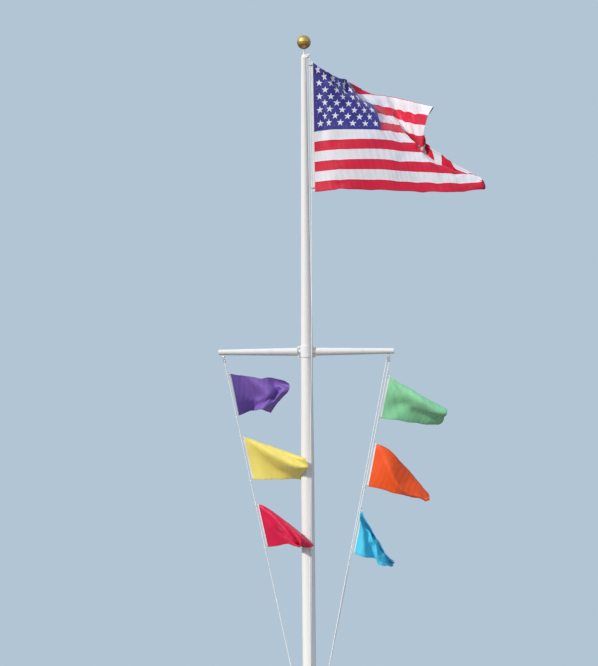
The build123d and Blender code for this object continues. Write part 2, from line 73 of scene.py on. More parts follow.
class Colour(Enum):
    """Display colours of the object's finishes and the light, turned linear."""

    PAINT = linear(233, 231, 226)
    GOLD = linear(216, 178, 112)
    CAST = linear(190, 192, 194)
    STEEL = linear(200, 202, 205)
    SHEAVE = linear(232, 230, 222)
    ROPE = linear(240, 239, 234)
    TAPE = linear(238, 237, 232)
    SNAP = linear(205, 190, 150)
    RED = linear(222, 24, 62)
    WHITE = linear(238, 237, 241)
    NAVY = linear(58, 54, 142)
    PURPLE = linear(134, 98, 186)
    YELLOW = linear(252, 234, 120)
    SCARLET = linear(228, 26, 76)
    GREEN = linear(150, 224, 170)
    ORANGE = linear(246, 90, 24)
    SKY_BLUE = linear(74, 206, 238)
    BACKDROP = linear(178, 197, 213)
    FLOOR = linear(196, 197, 196)
    GROUND = linear(92, 84, 66)
    SKY = linear(198, 218, 250)
    SUNLIGHT = linear(255, 247, 236)


class Signal:
    """A node's output in a net, which sums, comparisons and Math nodes work on."""

    def __init__(self, net: "Net", socket: bpy.types.NodeSocket) -> None:
        """Hold the output and the net that it is in."""
        self.net = net
        self.socket = socket

    def maths(self, operation: str, *others: object, clamp: bool = False) -> "Signal":
        """Return the result of a Math node on this signal and others.

        Args:
            operation: The Math node's operation.
            others: The numbers or signals that it takes besides this one.
            clamp: Whether the result is held between 0 and 1.

        Returns:
            The node's output.
        """
        inputs = dict(enumerate((self, *others)))
        return self.net.signal("ShaderNodeMath", inputs, operation=operation, use_clamp=clamp)

    def __add__(self, other: object) -> "Signal":
        """Return the sum with a number or a signal."""
        return self.maths("ADD", other)

    def __sub__(self, other: object) -> "Signal":
        """Return the signal less a number or a signal."""
        return self.maths("SUBTRACT", other)

    def __mul__(self, other: object) -> "Signal":
        """Return the product with a number or a signal."""
        return self.maths("MULTIPLY", other)

    def __abs__(self) -> "Signal":
        """Return the signal without its sign."""
        return self.maths("ABSOLUTE")

    def __gt__(self, limit: float) -> "Signal":
        """Return 1 above a limit and 0 elsewhere."""
        return self.maths("GREATER_THAN", limit)

    def __lt__(self, limit: float) -> "Signal":
        """Return 1 below a limit and 0 elsewhere."""
        return self.maths("LESS_THAN", limit)

    def near(self, place: float, reach: float) -> "Signal":
        """Return 1 within reach of a place and 0 elsewhere."""
        return self.maths("COMPARE", place, reach)

    def wave(self, length: float) -> "Signal":
        """Return a sine wave of a length in the signal's own unit."""
        return (self * (2 * math.pi / length)).maths("SINE")

    def ranged(self, low: float, high: float, to_low: float, to_high: float) -> "Signal":
        """Return the signal moved from one range to another and held in it."""
        return self.net.signal("ShaderNodeMapRange", dict(enumerate((self, low, high, to_low, to_high))))


class Net:
    """The node tree of a material or a world, with short ways to add its nodes."""

    def __init__(self, owner: bpy.types.Material | bpy.types.World) -> None:
        """Empty the owner's tree and give it an output."""
        owner.use_nodes = True
        self.tree = owner.node_tree
        self.tree.nodes.clear()
        kind = "World" if isinstance(owner, bpy.types.World) else "Material"
        self.output = self.tree.nodes.new(f"ShaderNodeOutput{kind}")
        self.coordinates = self.tree.nodes.new("ShaderNodeTexCoord")

    def add(self, kind: str, inputs: dict[int | str, object], **settings: object) -> bpy.types.Node:
        """Add a node, set its own properties and feed its inputs.

        Args:
            kind: The node's type name.
            inputs: Constants or signals, by the place or name of the input.
            settings: Properties of the node and their values.

        Returns:
            The new node.
        """
        node = self.tree.nodes.new(kind)
        for name, value in settings.items():
            setattr(node, name, value)
        for key, value in inputs.items():
            if isinstance(value, Signal):
                self.tree.links.new(value.socket, node.inputs[key])
            else:
                node.inputs[key].default_value = value
        return node

    def signal(self, kind: str, inputs: dict[int | str, object], output: int | str = 0, **settings: object) -> Signal:
        """Add a node as add does, and return one of its outputs."""
        return Signal(self, self.add(kind, inputs, **settings).outputs[output])

    def place(self, kind: str = "Object") -> Signal:
        """Return the coordinates of one kind."""
        return Signal(self, self.coordinates.outputs[kind])

    def stretched(self, vector: Signal, scale: Point) -> Signal:
        """Return coordinates multiplied by a scale on each axis."""
        return self.signal("ShaderNodeMapping", {"Vector": vector, "Scale": scale})

    def noise(self, vector: Signal, scale: float, detail: float) -> Signal:
        """Return a cloudy value between 0 and 1 at a scale per metre."""
        return self.signal("ShaderNodeTexNoise", {"Vector": vector, "Scale": scale, "Detail": detail}, "Fac")

    def blend(self, share: object, first: object, second: object) -> Signal:
        """Return a mix of two colours, all second where share is 1."""
        return self.signal("ShaderNodeMix", {0: share, 6: first, 7: second}, 2, data_type="RGBA")

    def bump(self, height: Signal, distance: float, strength: float, under: Signal | None = None) -> Signal:
        """Return a normal bent by a height, over another bump if one is given."""
        inputs = {"Distance": distance, "Strength": strength, "Height": height}
        if under is not None:
            inputs["Normal"] = under
        return self.signal("ShaderNodeBump", inputs, "Normal")

    def split(self, vector: Signal) -> tuple[Signal, ...]:
        """Return the three parts of a vector."""
        return tuple(Signal(self, output) for output in self.add("ShaderNodeSeparateXYZ", {0: vector}).outputs)

    def show(self, shader: Signal) -> None:
        """Make a shader the tree's surface."""
        self.tree.links.new(shader.socket, self.output.inputs["Surface"])

    def shade(self, **values: object) -> Signal:
        """Show a Principled shader and return it; inputs are named with underscores for spaces."""
        inputs = {name.replace("_", " "): value for name, value in values.items()}
        shader = self.signal("ShaderNodeBsdfPrincipled", inputs)
        self.show(shader)
        return shader


@dataclass(frozen=True)
class Finish:
    """A finish with a name and a colour, made into a material on first use."""

    name: str
    colour: Rgba

    def material(self) -> bpy.types.Material:
        """Return the finish's material, made once."""
        found = bpy.data.materials.get(self.name)
        if found is None:
            found = bpy.data.materials.new(self.name)
            self.dress(Net(found))
        return found

    def tinted(self, red: float, green: float, blue: float) -> Rgba:
        """Return the finish's colour with each part multiplied by a share."""
        return (*(part * share for part, share in zip(self.colour, (red, green, blue))), 1.0)

    def dress(self, net: Net) -> None:
        """Build the finish's nodes."""
        raise NotImplementedError


@dataclass(frozen=True)
class GlossPaint(Finish):
    """White marine gloss, a little chalky, with rain streaks."""

    roughness: float = 0.34

    def dress(self, net: Net) -> None:
        """Build the paint's nodes."""
        place = net.place()
        streaks = net.noise(net.stretched(place, (26, 26, 0.7)), 1, 4)
        cloud = net.noise(place, 5, 4)
        dirt = streaks.ranged(0.56, 0.8, 0, 1) * cloud.ranged(0.4, 0.7, 0.1, 0.45)
        peel = net.noise(place, 900, 2)
        sag = net.noise(net.stretched(place, (40, 40, 6)), 1, 2)
        net.shade(
            Base_Color=net.blend(dirt, self.colour, self.tinted(0.72, 0.70, 0.64)),
            Roughness=cloud.ranged(0.3, 0.7, self.roughness - 0.07, self.roughness + 0.12),
            Specular_IOR_Level=0.5,
            Coat_Weight=0.25,
            Coat_Roughness=0.18,
            Normal=net.bump(peel, 0.0002, 0.35, net.bump(sag, 0.0012, 0.3)),
        )


@dataclass(frozen=True)
class Metal(Finish):
    """A metal with fine scratches and a cloudy roughness."""

    roughness: float
    grain: float
    tarnish: Rgba
    tarnished: float

    def dress(self, net: Net) -> None:
        """Build the metal's nodes."""
        place = net.place()
        cloud = net.noise(place, 38, 4)
        scratch = net.noise(net.stretched(place, (self.grain, self.grain, self.grain / 8)), 1, 2)
        rough = cloud.ranged(0.3, 0.7, self.roughness - 0.05, self.roughness + 0.1)
        net.shade(
            Base_Color=net.blend(cloud.ranged(0.5, 0.78, 0, self.tarnished), self.colour, self.tarnish),
            Metallic=1.0,
            Roughness=scratch.ranged(0.3, 0.7, -0.05, 0.07) + rough,
            Normal=net.bump(scratch, 0.00015, 0.4),
        )


@dataclass(frozen=True)
class Moulded(Finish):
    """Moulded nylon with a faint grain."""

    roughness: float = 0.45

    def dress(self, net: Net) -> None:
        """Build the plastic's nodes."""
        grain = net.noise(net.place(), 700, 2)
        net.shade(
            Base_Color=net.blend(grain.ranged(0.4, 0.7, 0, 0.2), self.colour, self.tinted(0.75, 0.75, 0.75)),
            Roughness=self.roughness,
            Normal=net.bump(grain, 0.0002, 0.4),
        )


@dataclass(frozen=True)
class Braid(Finish):
    """White plaited halyard line, its strands crossing at a slant."""

    pitch: float = 0.009

    def dress(self, net: Net) -> None:
        """Build the rope's nodes."""
        x, y, z = net.split(net.place())
        around = x + y
        plait = (z + around).wave(self.pitch) * (z - around).wave(self.pitch)
        soil = net.noise(net.stretched(net.place(), (60, 60, 3)), 1, 4)
        # Painted shade: the base colour darkens in the plait's grooves between the crossing strands, and soil darkens
        # it at random.
        shade = plait.ranged(-1, 0.2, 0.09, 0).maths("ADD", soil.ranged(0.5, 0.8, 0, 0.2), clamp=True)
        net.shade(
            Base_Color=net.blend(shade, self.colour, self.tinted(0.6, 0.6, 0.6)),
            Roughness=0.72,
            Sheen_Weight=0.25,
            Normal=net.bump(plait, 0.0004, 0.5),
        )


@dataclass(frozen=True)
class Canvas(Finish):
    """White heading tape in a plain weave, with two rows of stitches."""

    width: float = 0.024
    thread: float = 0.0011
    stitch: float = 0.0042
    row_inset: float = 0.0035
    row_half: float = 0.0007

    def dress(self, net: Net) -> None:
        """Build the tape's nodes."""
        u, v, _ = net.split(net.place("UV"))
        weave = u.wave(self.thread) * v.wave(self.thread)
        row = abs(u - self.width / 2).near(self.width / 2 - self.row_inset, self.row_half)
        stitches = row * (v.wave(self.stitch) > -0.5)
        soil = net.noise(net.place(), 30, 4)
        dark = self.tinted(0.72, 0.72, 0.72)
        cloth = net.blend(soil.ranged(0.45, 0.75, 0, 0.5), self.colour, dark)
        net.shade(
            Base_Color=net.blend(row * 0.35, cloth, dark),
            Roughness=0.85,
            Sheen_Weight=0.2,
            Normal=net.bump(weave * 0.3 - stitches, 0.0005, 0.7),
        )


@dataclass(frozen=True)
class Bunting(Finish):
    """Thin flag nylon: light comes through it, and its hem shows double."""

    width: float
    length: float
    hem: float = 0.014
    heading: float = 0.0
    through: float = 0.14
    thread: float = 0.0016
    stitch: float = 0.004
    stitch_half: float = 0.0006
    shadow: Rgba = (0.02, 0.02, 0.03, 1)

    def weave(self, u: Signal, v: Signal) -> Signal:
        """Return the height of the cloth's plain weave and small creases."""
        cross = u.wave(self.thread) * v.wave(self.thread)
        crease = u.net.noise(u.net.stretched(u.net.place("UV"), (26, 7, 1)), 1, 4)
        return cross * 0.05 + crease

    def hem_share(self, u: Signal, v: Signal) -> Signal:
        """Return 1 on the turned hem at the fly, top and foot, and 0 inside."""
        fly, top, foot = u > self.width - 2 * self.hem, v < self.hem, v > self.length - self.hem
        return (fly + top).maths("ADD", foot, clamp=True)

    def stitches(self, u: Signal, v: Signal) -> Signal:
        """Return 1 on the dashes of thread along the hem."""
        rows = None
        for across, along, place in (
            (u, v, self.width - 2 * self.hem + 0.0015),
            (u, v, self.width - 0.003),
            (v, u, self.hem - 0.0015),
            (v, u, self.length - self.hem + 0.0015),
            (u, v, self.heading + 0.002),
        ):
            row = across.near(place, self.stitch_half) * (along.wave(self.stitch) > -0.4)
            rows = row if rows is None else rows.maths("MAXIMUM", row)
        return rows

    def pattern(self, u: Signal, v: Signal) -> Signal | Rgba:
        """Return the cloth's colour at a place on it."""
        return self.colour

    def dress(self, net: Net) -> None:
        """Build the nylon's nodes."""
        u, v, _ = net.split(net.place("UV"))
        colour = self.pattern(u, v)
        if self.heading:
            colour = net.blend(u < self.heading, colour, Colour.TAPE.value)
        dark = net.blend(0.82, colour, self.shadow)
        thread = self.stitches(u, v)
        fade = net.noise(net.place("UV"), 9, 3).ranged(0.35, 0.75, 0, 0.1)
        tint = colour
        for share in (fade, self.hem_share(u, v) * 0.1, thread * 0.25):
            tint = net.blend(share, tint, dark)
        normal = net.bump(self.weave(u, v) - thread * 0.4, 0.0016, 0.45)
        face = net.shade(
            Base_Color=tint,
            Roughness=0.5,
            Sheen_Weight=0.25,
            Sheen_Roughness=0.4,
            Specular_IOR_Level=0.35,
            Normal=normal,
        )
        glow = net.signal("ShaderNodeBsdfTranslucent", {"Color": tint, "Normal": normal})
        net.show(net.signal("ShaderNodeMixShader", {0: self.through, 1: face, 2: glow}))


@dataclass(frozen=True)
class StarsAndStripes(Bunting):
    """Thirteen sewn stripes and a blue canton with fifty stars."""

    white: Rgba = (0.8, 0.8, 0.8, 1)
    blue: Rgba = (0.03, 0.03, 0.2, 1)
    canton: tuple[float, float] = (0.731, 0.6564)
    star: float = 0.0375
    star_waist: float = 0.382
    columns: int = 12
    rows: int = 10
    stripes: int = 13

    @staticmethod
    def nearest(place: Signal, start: int) -> Signal:
        """Return how far a place is from the nearest odd or even line of stars."""
        steps = ((place - start) * 0.5).maths("ROUND")
        return place - (steps * 2 + start)

    def star_shape(self, x: Signal, y: Signal) -> Signal:
        """Return 1 inside a five-pointed star that stands on two points.

        Args:
            x: Distance right of the star's middle, in metres.
            y: Distance above the star's middle, in metres.

        Returns:
            1 in the star and 0 outside it.
        """
        fifth = 2 * math.pi / 5
        turned = x.maths("ARCTAN2", y) + fifth * 10.5
        folded = abs(turned.maths("MODULO", fifth) - fifth / 2)
        reach = (x * x + y * y).maths("SQRT")
        slope = (1 - self.star_waist * math.cos(fifth / 2)) / (self.star_waist * math.sin(fifth / 2))
        ahead, beside = reach * folded.maths("COSINE"), reach * folded.maths("SINE")
        return ahead + beside * slope < self.star

    def pattern(self, u: Signal, v: Signal) -> Signal | Rgba:
        """Return the ensign's colour at a place on it."""
        net = u.net
        odd = (v * (self.stripes / self.length)).maths("FLOOR").maths("FLOORED_MODULO", 2)
        bars = net.blend(odd, self.colour, self.white)
        wide, tall = self.canton
        column, row = u * (self.columns / wide), v * (self.rows / tall)
        even, uneven = (
            self.star_shape(
                self.nearest(column, start) * (wide / self.columns), self.nearest(row, start) * (-tall / self.rows)
            )
            for start in (0, 1)
        )
        stars = even.maths("MAXIMUM", uneven)
        for place, half in ((column, self.columns / 2), (row, self.rows / 2)):
            stars *= abs(place - half) < half - 0.5
        in_canton = (u < wide) * (v < tall)
        return net.blend(in_canton, bars, net.blend(stars, self.blue, self.white))

    def weave(self, u: Signal, v: Signal) -> Signal:
        """Return the height of the weave, the creases and the felled seams."""
        stripe = v * (self.stripes / self.length)
        off = abs(stripe - stripe.maths("ROUND"))
        return super().weave(u, v) + off.ranged(0.02, 0.06, 0.5, 0)


class Shop:
    """The finishes, one of each; a metal has its roughness, grain, tarnish colour and tarnished share."""

    paint = GlossPaint("white_gloss_paint", Colour.PAINT.value)
    gold = Metal("gold_anodised_aluminium", Colour.GOLD.value, 0.5, 300, linear(120, 70, 30), 0.2)
    cast = Metal("cast_aluminium", Colour.CAST.value, 0.42, 500, linear(110, 108, 104), 0.3)
    steel = Metal("stainless_steel", Colour.STEEL.value, 0.25, 600, linear(120, 112, 100), 0.15)
    bronze = Metal("snap_bronze", Colour.SNAP.value, 0.32, 500, linear(96, 72, 40), 0.35)
    sheave = Moulded("nylon_sheave", Colour.SHEAVE.value)
    rope = Braid("braided_halyard", Colour.ROPE.value)
    tape = Canvas("heading_canvas", Colour.TAPE.value)


@dataclass
class Sight:
    """The camera: where it stands and how it is turned, with lengths in millimetres."""

    distance: float = 20000.0
    scale: float = 9.41
    across: float = -69.6
    eye: float = 4075.6
    rise: float = math.atan(95 * 9.41 / 20000)
    roll: float = math.radians(0.489)
    width: int = 598
    height: int = 666
    sensor: float = 36.0
    far: float = 200.0

    @property
    def stand(self) -> Vector:
        """Return where the camera stands."""
        return Vector((self.across, -self.distance, self.eye))

    def ray(self, px: float, py: float) -> Vector:
        """Return the direction of a picture point, one long along the view's plan."""
        right, up = px - self.width / 2, self.height / 2 - py
        cosine, sine = math.cos(self.roll), math.sin(self.roll)
        right, up = right * cosine + up * sine, up * cosine - right * sine
        focal = self.distance / self.scale
        ahead = focal * math.cos(self.rise) - up * math.sin(self.rise)
        above = focal * math.sin(self.rise) + up * math.cos(self.rise)
        return Vector((right / ahead, 1.0, above / ahead))

    def point(self, px: float, py: float, depth: float) -> Vector:
        """Return the place at a depth behind the pole's plane that a picture point shows.

        Args:
            px: The point's column in the picture.
            py: The point's row in the picture.
            depth: How far behind the pole's axis it lies, in millimetres.

        Returns:
            The place in millimetres.
        """
        return self.stand + self.ray(px, py) * (self.distance + depth)

    def build(self) -> None:
        """Make the camera and look through it."""
        data = bpy.data.cameras.new("view")
        data.sensor_width = self.sensor
        data.lens = self.distance / self.scale * self.sensor / self.height
        data.clip_end = self.far
        camera = bpy.data.objects.new("view", data)
        bpy.context.scene.collection.objects.link(camera)
        level = Matrix.Rotation(math.pi / 2 + self.rise, 4, "X")
        camera.matrix_world = Matrix.Translation(self.stand * MM) @ level @ Matrix.Rotation(-self.roll, 4, "Z")
        bpy.context.scene.camera = camera


@dataclass
class Stage:
    """Floor, backdrop colour and soft daylight from the left."""

    floor_radius: float = 3.6
    sun_from: Point = (-0.66, -0.52, 0.54)
    sun_strength: float = 3.08
    sky_strength: float = 0.8
    horizon: tuple[float, float] = (-0.12, 0.16)
    softness: float = 3.0
    fill_from: Point = (0.25, -0.92, 0.3)
    fill_strength: float = 0.26
    fill_softness: float = 60.0

    def floor(self) -> None:
        """Lay a round pale floor under the foot."""
        shape = bmesh.new()
        bmesh.ops.create_circle(shape, cap_ends=True, segments=96, radius=self.floor_radius)
        mesh = bpy.data.meshes.new("floor")
        shape.to_mesh(mesh)
        shape.free()
        ground = bpy.data.objects.new("floor", mesh)
        bpy.context.scene.collection.objects.link(ground)
        material = bpy.data.materials.new("pale_floor")
        Net(material).shade(Base_Color=Colour.FLOOR.value, Roughness=0.9)
        mesh.materials.append(material)

    def sky(self) -> None:
        """Fill the world with soft light, and with the backdrop colour where it is seen."""
        world = bpy.data.worlds.new("daylight")
        bpy.context.scene.world = world
        net = Net(world)
        rise = net.split(net.place("Generated"))[2].ranged(*self.horizon, 0, 1)
        light = {"Color": net.blend(rise, Colour.GROUND.value, Colour.SKY.value), "Strength": self.sky_strength}
        fill = net.signal("ShaderNodeBackground", light)
        seen = net.signal("ShaderNodeBackground", {"Color": Colour.BACKDROP.value})
        path = net.add("ShaderNodeLightPath", {})
        camera, through, mirror = (
            Signal(net, path.outputs[f"Is {kind} Ray"]) for kind in ("Camera", "Transmission", "Glossy")
        )
        shown = camera.maths("MAXIMUM", through).maths("MAXIMUM", mirror * rise)
        net.show(net.signal("ShaderNodeMixShader", {0: shown, 1: fill, 2: seen}))

    def lamp(self, name: str, towards: Point, strength: float, softness: float) -> None:
        """Hang one soft lamp far off.

        Args:
            name: The lamp's name.
            towards: The way from the object to the lamp.
            strength: How bright it is.
            softness: How wide it looks from the object, in degrees.
        """
        data = bpy.data.lights.new(name, "SUN")
        data.energy = strength
        data.angle = math.radians(softness)
        data.color = Colour.SUNLIGHT.value[:3]
        lamp = bpy.data.objects.new(name, data)
        lamp.rotation_mode = "QUATERNION"
        lamp.rotation_quaternion = Vector(towards).to_track_quat("Z", "Y")
        bpy.context.scene.collection.objects.link(lamp)

    def build(self) -> None:
        """Set the whole stage."""
        self.floor()
        self.sky()
        self.lamp("sun", self.sun_from, self.sun_strength, self.softness)
        self.lamp("fill", self.fill_from, self.fill_strength, self.fill_softness)


WELD = 1e-6
SHARP = math.radians(35)


def piece(name: str, shape: bmesh.types.BMesh, finish: Finish, smooth: bool = True) -> bpy.types.Object:
    """Make a finished piece of a shape, in its finish and riding on the pole.

    Args:
        name: The piece's plain name.
        shape: The shape, in metres in the row frame. It is freed.
        finish: What covers it.
        smooth: Whether its faces are shaded smooth, with sharp edges kept.

    Returns:
        The new object.
    """
    bmesh.ops.remove_doubles(shape, verts=shape.verts, dist=WELD)
    bmesh.ops.recalc_face_normals(shape, faces=shape.faces)
    for edge in shape.edges:
        edge.smooth = len(edge.link_faces) != 2 or edge.calc_face_angle(0) < SHARP
    for face in shape.faces:
        face.smooth = smooth
    mesh = bpy.data.meshes.new(name)
    shape.to_mesh(mesh)
    shape.free()
    made = bpy.data.objects.new(name, mesh)
    bpy.context.scene.collection.objects.link(made)
    mesh.materials.append(finish.material())
    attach(made, POLE)
    log.info("%s: %d faces", name, len(mesh.polygons))
    return made


def spun(shape: bmesh.types.BMesh, profile: list[tuple[float, float]], place: Matrix, steps: int) -> None:
    """Turn a profile round its axis and put it in place.

    Args:
        shape: The shape that it is added to.
        profile: Radius and height of each corner, from end to end.
        place: Where the axis's foot goes, and which way it points.
        steps: How many steps make the round.
    """
    before = set(shape.verts)
    line = [shape.verts.new((radius, 0, height)) for radius, height in profile]
    edges = [shape.edges.new(pair) for pair in zip(line, line[1:])]
    turn = {"cent": (0, 0, 0), "axis": (0, 0, 1), "angle": 2 * math.pi, "steps": steps}
    bmesh.ops.spin(shape, geom=line + edges, use_merge=True, **turn)
    bmesh.ops.transform(shape, matrix=place, verts=[vert for vert in shape.verts if vert not in before])


def thicken(sheet: bpy.types.Object, thickness: float) -> None:
    """Give a sheet its thickness, in metres, half to each side."""
    thick = sheet.modifiers.new("thickness", "SOLIDIFY")
    thick.thickness = thickness
    thick.offset = 0


def dressed(finish: Finish, *names: str) -> None:
    """Give carried-over nodes a finish in place of their plain one."""
    for name in names:
        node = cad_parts[name]
        node.data.materials.clear()
        node.data.materials.append(finish.material())


def both_sides(*kinds: str) -> list[str]:
    """Return the names of the left and right node of each kind."""
    return [f"{kind}_{side}" for kind in kinds for side in ("left", "right")]


@dataclass
class PoleAssembly:
    """The tapered pole with its foot collar, base plate and cleats."""

    def build(self) -> None:
        """Dress the pole's nodes."""
        dressed(Shop.paint, "pole_tube", "butt_plate", "flash_collar")
        dressed(Shop.cast, "main_cleat", "left_cleat", "right_cleat")


@dataclass
class TruckAssembly:
    """The cap and fork at the top with their sheave, and the gilt ball; sizes in metres."""

    ball_radius: float = 0.067
    seam: float = 0.0016
    seam_half_angle: float = 0.025
    seam_reach: float = 0.1
    socket: float = 0.0068
    socket_depth: float = 0.012
    rings: int = 48

    def ball(self) -> None:
        """Spin the ball in two halves with a rolled seam, its foot pierced for the spindle."""
        low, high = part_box("finial_ball")
        inner = self.ball_radius - self.seam
        profile = [(self.socket, -self.ball_radius + self.socket_depth)]
        for step in range(1, self.rings):
            turn = math.pi * step / self.rings - math.pi / 2
            lift = self.seam * math.exp(-((turn / self.seam_half_angle) ** 2)) if abs(turn) < self.seam_reach else 0
            radius, height = (inner + lift) * math.cos(turn), inner * math.sin(turn)
            if radius > self.socket or height > 0:
                profile.append((radius, height))
        profile.append((0, inner))
        shape = bmesh.new()
        spun(shape, profile, Matrix.Translation((low + high) / 2), 2 * self.rings)
        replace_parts(piece("gilt_ball", shape, Shop.gold), "finial_ball")

    def build(self) -> None:
        """Build the ball and dress the truck."""
        self.ball()
        dressed(Shop.paint, "truck_cap", "ball_spindle")
        dressed(Shop.steel, "truck_pin")
        dressed(Shop.sheave, "truck_sheave")


@dataclass
class YardAssembly:
    """The clamp with its bolts, both yard arms, their screw eyes and blocks; sizes in metres."""

    height: float = 4.793
    bolt_x: float = 0.0732
    spacing: float = 0.071
    ear_half: float = 0.010
    washer_radius: float = 0.0105
    washer_depth: float = 0.0016
    head_across: float = 0.0085
    head_depth: float = 0.0064
    nut_share: float = 1.25
    edge_share: float = 0.97
    shank_radius: float = 0.005
    shank_over: float = 0.034
    shank_shift: float = 0.003

    def bolt(self, shape: bmesh.types.BMesh, x: float, z: float) -> None:
        """Put one bolt with washers and a nut through the clamp's ears."""

        def disc(radii: tuple[float, float], depth: float, y: float, way: int, sides: int) -> None:
            """Add one round or hexagonal part of the bolt, its second radius towards the way."""
            place = Matrix.Translation((x, y, z)) @ Matrix.Rotation(-way * math.pi / 2, 4, "X")
            sizes = {"segments": sides, "radius1": radii[0], "radius2": radii[1], "depth": depth}
            bmesh.ops.create_cone(shape, cap_ends=True, matrix=place, **sizes)

        for way, head in ((-1, self.head_depth), (1, self.head_depth * self.nut_share)):
            for radius, near, far, sides in (
                (self.washer_radius, 0, self.washer_depth, 32),
                (self.head_across, self.washer_depth, self.washer_depth + head, 6),
            ):
                middle = way * self.ear_half + way * (near + far) / 2
                disc((radius, radius * self.edge_share), far - near, middle, way, sides)
        disc((self.shank_radius, self.shank_radius), 2 * self.ear_half + self.shank_over, self.shank_shift, -1, 24)

    def build(self) -> None:
        """Add the bolts and dress the yard's nodes."""
        shape = bmesh.new()
        for x in (-self.bolt_x, self.bolt_x):
            for z in (-self.spacing / 2, self.spacing / 2):
                self.bolt(shape, x, self.height + z)
        piece("clamp_bolts", shape, Shop.paint)
        dressed(Shop.paint, "yard_clamp_front", "yard_clamp_rear", *both_sides("arm_stub", "yard_arm", "arm_cap"))
        dressed(Shop.steel, *both_sides("screw_eye", "block_pin", "block_shell"))
        dressed(Shop.sheave, *both_sides("block_sheave"))


@dataclass
class Rigging:
    """The three halyards and the hardware clipped to them."""

    def build(self) -> None:
        """Dress the ropes, clips and snaps."""
        dressed(Shop.rope, "main_halyard", "left_halyard", "right_halyard")
        dressed(Shop.sheave, *both_sides("flag_clips"))
        dressed(Shop.bronze, "ensign_snap_upper", "ensign_snap_lower")


class Knowing(Enum):
    """How sure an anchor is: seen in the picture, or hidden behind cloth."""

    SEEN = "seen"
    HIDDEN = "hidden"


@dataclass(frozen=True)
class Anchor:
    """A point of a flag: its place on the flat cloth, and where the picture shows it, in millimetres and pixels."""

    u: float
    v: float
    px: float
    py: float
    depth: float
    knowing: Knowing = Knowing.SEEN


@dataclass
class Level:
    """One pass of the cloth's settling: grid size, steps, and how hard the anchors pull."""

    columns: int
    rows: int
    steps: int
    hold: float
    depth_hold: float
    reach: float


